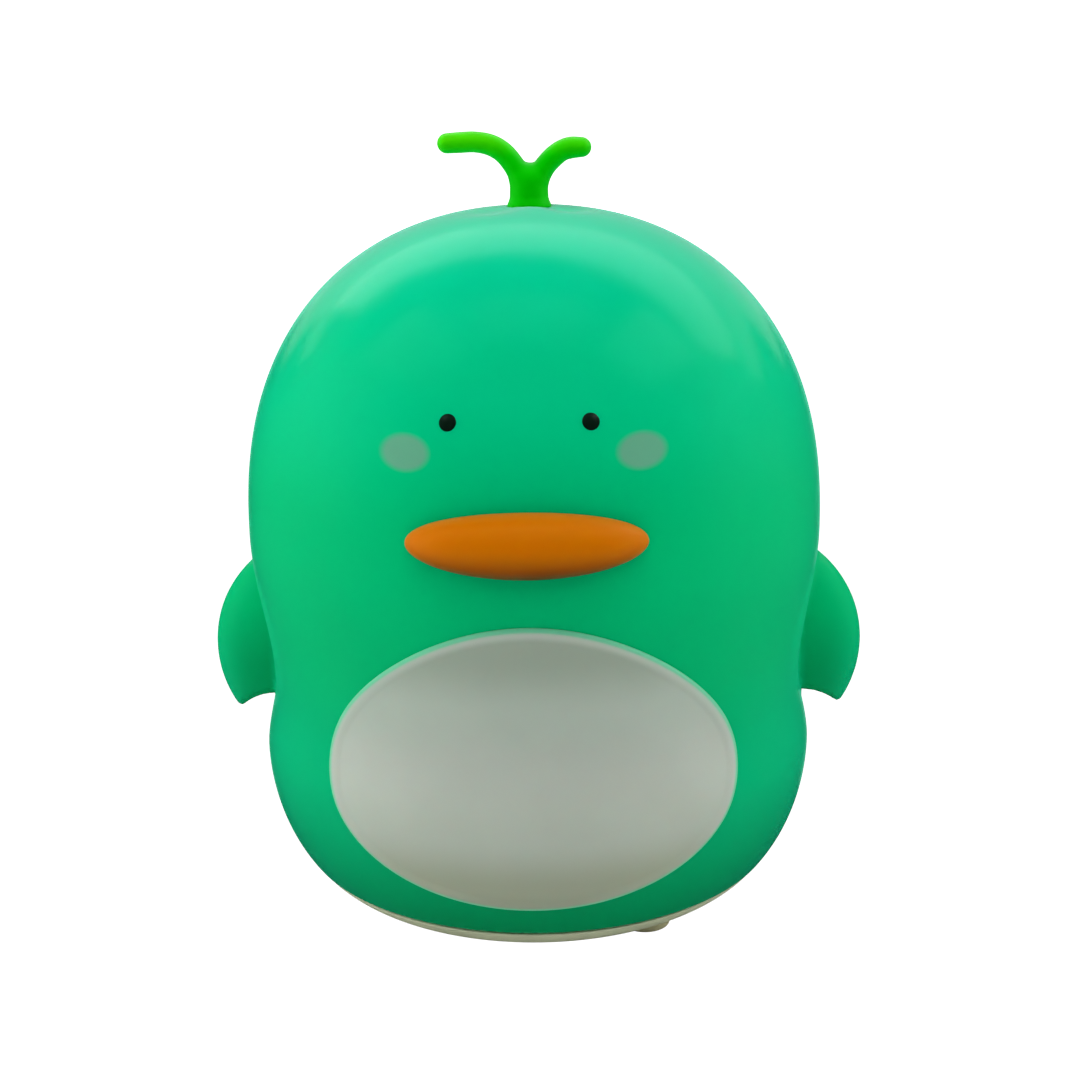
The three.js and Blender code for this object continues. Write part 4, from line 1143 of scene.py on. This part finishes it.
def make_camera():
    data = bpy.data.cameras.new("camera")
    data.sensor_width = 36.0
    data.lens = CAMERA["f_px"] / IMAGE_SIDE * data.sensor_width
    data.clip_start = 0.01
    data.clip_end = 20.0
    camera = bpy.data.objects.new("camera", data)
    yaw = math.radians(CAMERA["yaw"])
    back = Vector((math.sin(yaw), -math.cos(yaw), 0)) * CAMERA["distance"]
    camera.location = Vector((back.x, back.y + AXIS_Y, CAMERA["height"])) * MM
    turn = Matrix.Rotation(yaw, 4, "Z") @ Matrix.Rotation(math.radians(90 - CAMERA["pitch"]), 4, "X")
    turn = turn @ Matrix.Rotation(math.radians(-CAMERA["roll"]), 4, "Z")
    camera.rotation_euler = turn.to_euler()
    data.shift_x = CAMERA["shift_px"] / IMAGE_SIDE
    bpy.context.scene.collection.objects.link(camera)
    bpy.context.scene.camera = camera


make_camera()

# ---- Floor and light ----

FLOOR = {"flat": 1.5, "bend": 1.5, "wall_top": 6.0, "half_width": 6.0, "front": -4.0}


def strip(length):
    """Quads along a strip of vertices stored in pairs."""
    return [(2 * i, 2 * i + 1, 2 * i + 3, 2 * i + 2) for i in range(length - 1)]


def floor_curve():
    """Where the flat floor bends up into a wall: distance from the bird and height, in metres."""
    flat, bend = FLOOR["flat"], FLOOR["bend"]
    turn = np.linspace(0, math.pi / 2, 24)
    rows = [(flat + bend * math.sin(a), bend - bend * math.cos(a)) for a in turn]
    return [*rows, (flat + bend, FLOOR["wall_top"])]


def straight_sweep():
    """The floor with its wall behind the bird only."""
    rows = [(y, 0.0) for y in np.linspace(FLOOR["front"], 0.2, 4)] + floor_curve()
    vertices = [(x, y, z) for y, z in rows for x in (-FLOOR["half_width"], FLOOR["half_width"])]
    return vertices, strip(len(rows))


def round_sweep(sides=96):
    """The floor with its wall all round."""
    rows = floor_curve()
    around = [2 * math.pi * j / sides for j in range(sides)]
    vertices = [(r * math.sin(a), r * math.cos(a), z) for r, z in rows for a in around]
    faces = grid_faces(len(rows), sides)
    faces.append(tuple(range(sides)))
    return vertices, faces


def paper(name, vertices, faces, glow, albedo, light=(1, 1, 1)):
    """A matt, glowing sheet of the studio, which isn't part of the bird."""
    mesh = bpy.data.meshes.new(name)
    mesh.from_pydata(vertices, [], faces)
    sheet = bpy.data.objects.new(name, mesh)
    bpy.context.scene.collection.objects.link(sheet)
    surface = Surface(name + "_paper", Roughness=0.9, Specular_IOR_Level=0.0, Emission_Strength=glow)
    surface.colour(surface.speckled((albedo, albedo, albedo), 0.01, 0.4))
    surface.shader.inputs["Emission Color"].default_value = (*light, 1)
    mesh.materials.append(surface.material)
    return sheet


def sweep(name, shape, glow, albedo):
    """The studio floor in one of its shapes."""
    floor = paper(name, *shape, glow, albedo)
    floor.data.shade_smooth()
    floor.visible_glossy = False
    return floor


BACK_CARD = {"radius": 2.0, "low": -0.9, "high": 0.35, "from_deg": 156, "to_deg": 204}


def back_wall():
    """A pale green card low behind the bird that only its sheen picks up, so its edge stays light."""
    around = np.radians(np.linspace(BACK_CARD["from_deg"], BACK_CARD["to_deg"], 12))
    radius = BACK_CARD["radius"]
    heights = (BACK_CARD["low"], BACK_CARD["high"])
    vertices = [(radius * math.sin(a), -radius * math.cos(a), z) for a in around for z in heights]
    wall = paper("back_wall", vertices, strip(len(around)), LIGHTS["back_wall"], 0.5, (0.3, 1, 0.75))
    wall.active_material.cycles.emission_sampling = "NONE"
    wall.visible_camera = False
    wall.visible_diffuse = False
    wall.visible_shadow = False


def make_floor():
    """The white floor that the camera sees, and an unlit one in its place to throw light back up."""
    shown = sweep("floor", round_sweep(), LIGHTS["floor_glow"], 0.93)
    shown.visible_diffuse = False
    shown.visible_shadow = False
    bounce = sweep("floor_bounce", straight_sweep(), 0.0, LIGHTS["bounce"])
    bounce.visible_camera = False


# Each softbox as seen from the bird: its azimuth range (0 in front, 90 to the right), its elevation
# range, its brightness, and whether it shows in reflections.
PANELS = {
    "rear_high": ((100, 235), (40, 66), 1.3, True),
    "rear_middle": ((115, 235), (27, 40), 0.5, True),
    "rear_low": ((140, 220), (8, 27), 0.45, True),
    "right_high": ((50, 95), (38, 60), 1.05, True),
    "left_high": ((-95, -45), (38, 62), 0.6, True),
    "overhead": ((-60, 60), (66, 88), 3.8, False),
    "front_high": ((-40, 40), (35, 60), 1.45, False),
    "front_low": ((-40, 40), (5, 30), 0.05, False),
    "right_side": ((68, 125), (-2, 35), 2.0, False),
    "left_side": ((-125, -65), (-2, 35), 3.0, False),
}
LIGHTS = {"world": 0.03, "floor_glow": 1.2, "bounce": 0.86, "back_wall": 0.5}
AIM = Vector((0.0, AXIS_Y * MM, 0.07))
PANEL_DISTANCE = 1.2
WIDEST_HALF_ANGLE = 1.1


def softbox(name, azimuth, elevation, glow, reflected):
    """A large soft panel that faces the bird and fills the range of directions it is given."""
    a, e = math.radians(sum(azimuth) / 2), math.radians(sum(elevation) / 2)
    half_wide = math.radians(azimuth[1] - azimuth[0]) / 2
    half_high = math.radians(elevation[1] - elevation[0]) / 2
    data = bpy.data.lights.new(name, "AREA")
    data.shape = "RECTANGLE"
    data.size = 2 * PANEL_DISTANCE * math.tan(min(half_wide, WIDEST_HALF_ANGLE)) * math.cos(e)
    data.size_y = 2 * PANEL_DISTANCE * math.tan(half_high)
    data.energy = glow * data.size * data.size_y * math.pi
    light = bpy.data.objects.new(name, data)
    away = Vector((math.sin(a) * math.cos(e), -math.cos(a) * math.cos(e), math.sin(e)))
    light.location = AIM + away * PANEL_DISTANCE
    light.rotation_euler = away.to_track_quat("Z", "Y").to_euler()
    light.visible_camera = False
    light.visible_glossy = reflected
    bpy.context.scene.collection.objects.link(light)


def make_lights():
    world = bpy.data.worlds.new("studio")
    bpy.context.scene.world = world
    world.use_nodes = True
    background = world.node_tree.nodes["Background"]
    background.inputs["Color"].default_value = (1, 1, 1, 1)
    background.inputs["Strength"].default_value = LIGHTS["world"]
    world.cycles_visibility.glossy = False
    for name, panel in PANELS.items():
        softbox(name, *panel)


make_floor()
back_wall()
make_lights()
bpy.context.scene.view_settings.view_transform = "Standard"
bpy.context.scene.cycles.max_bounces = 8
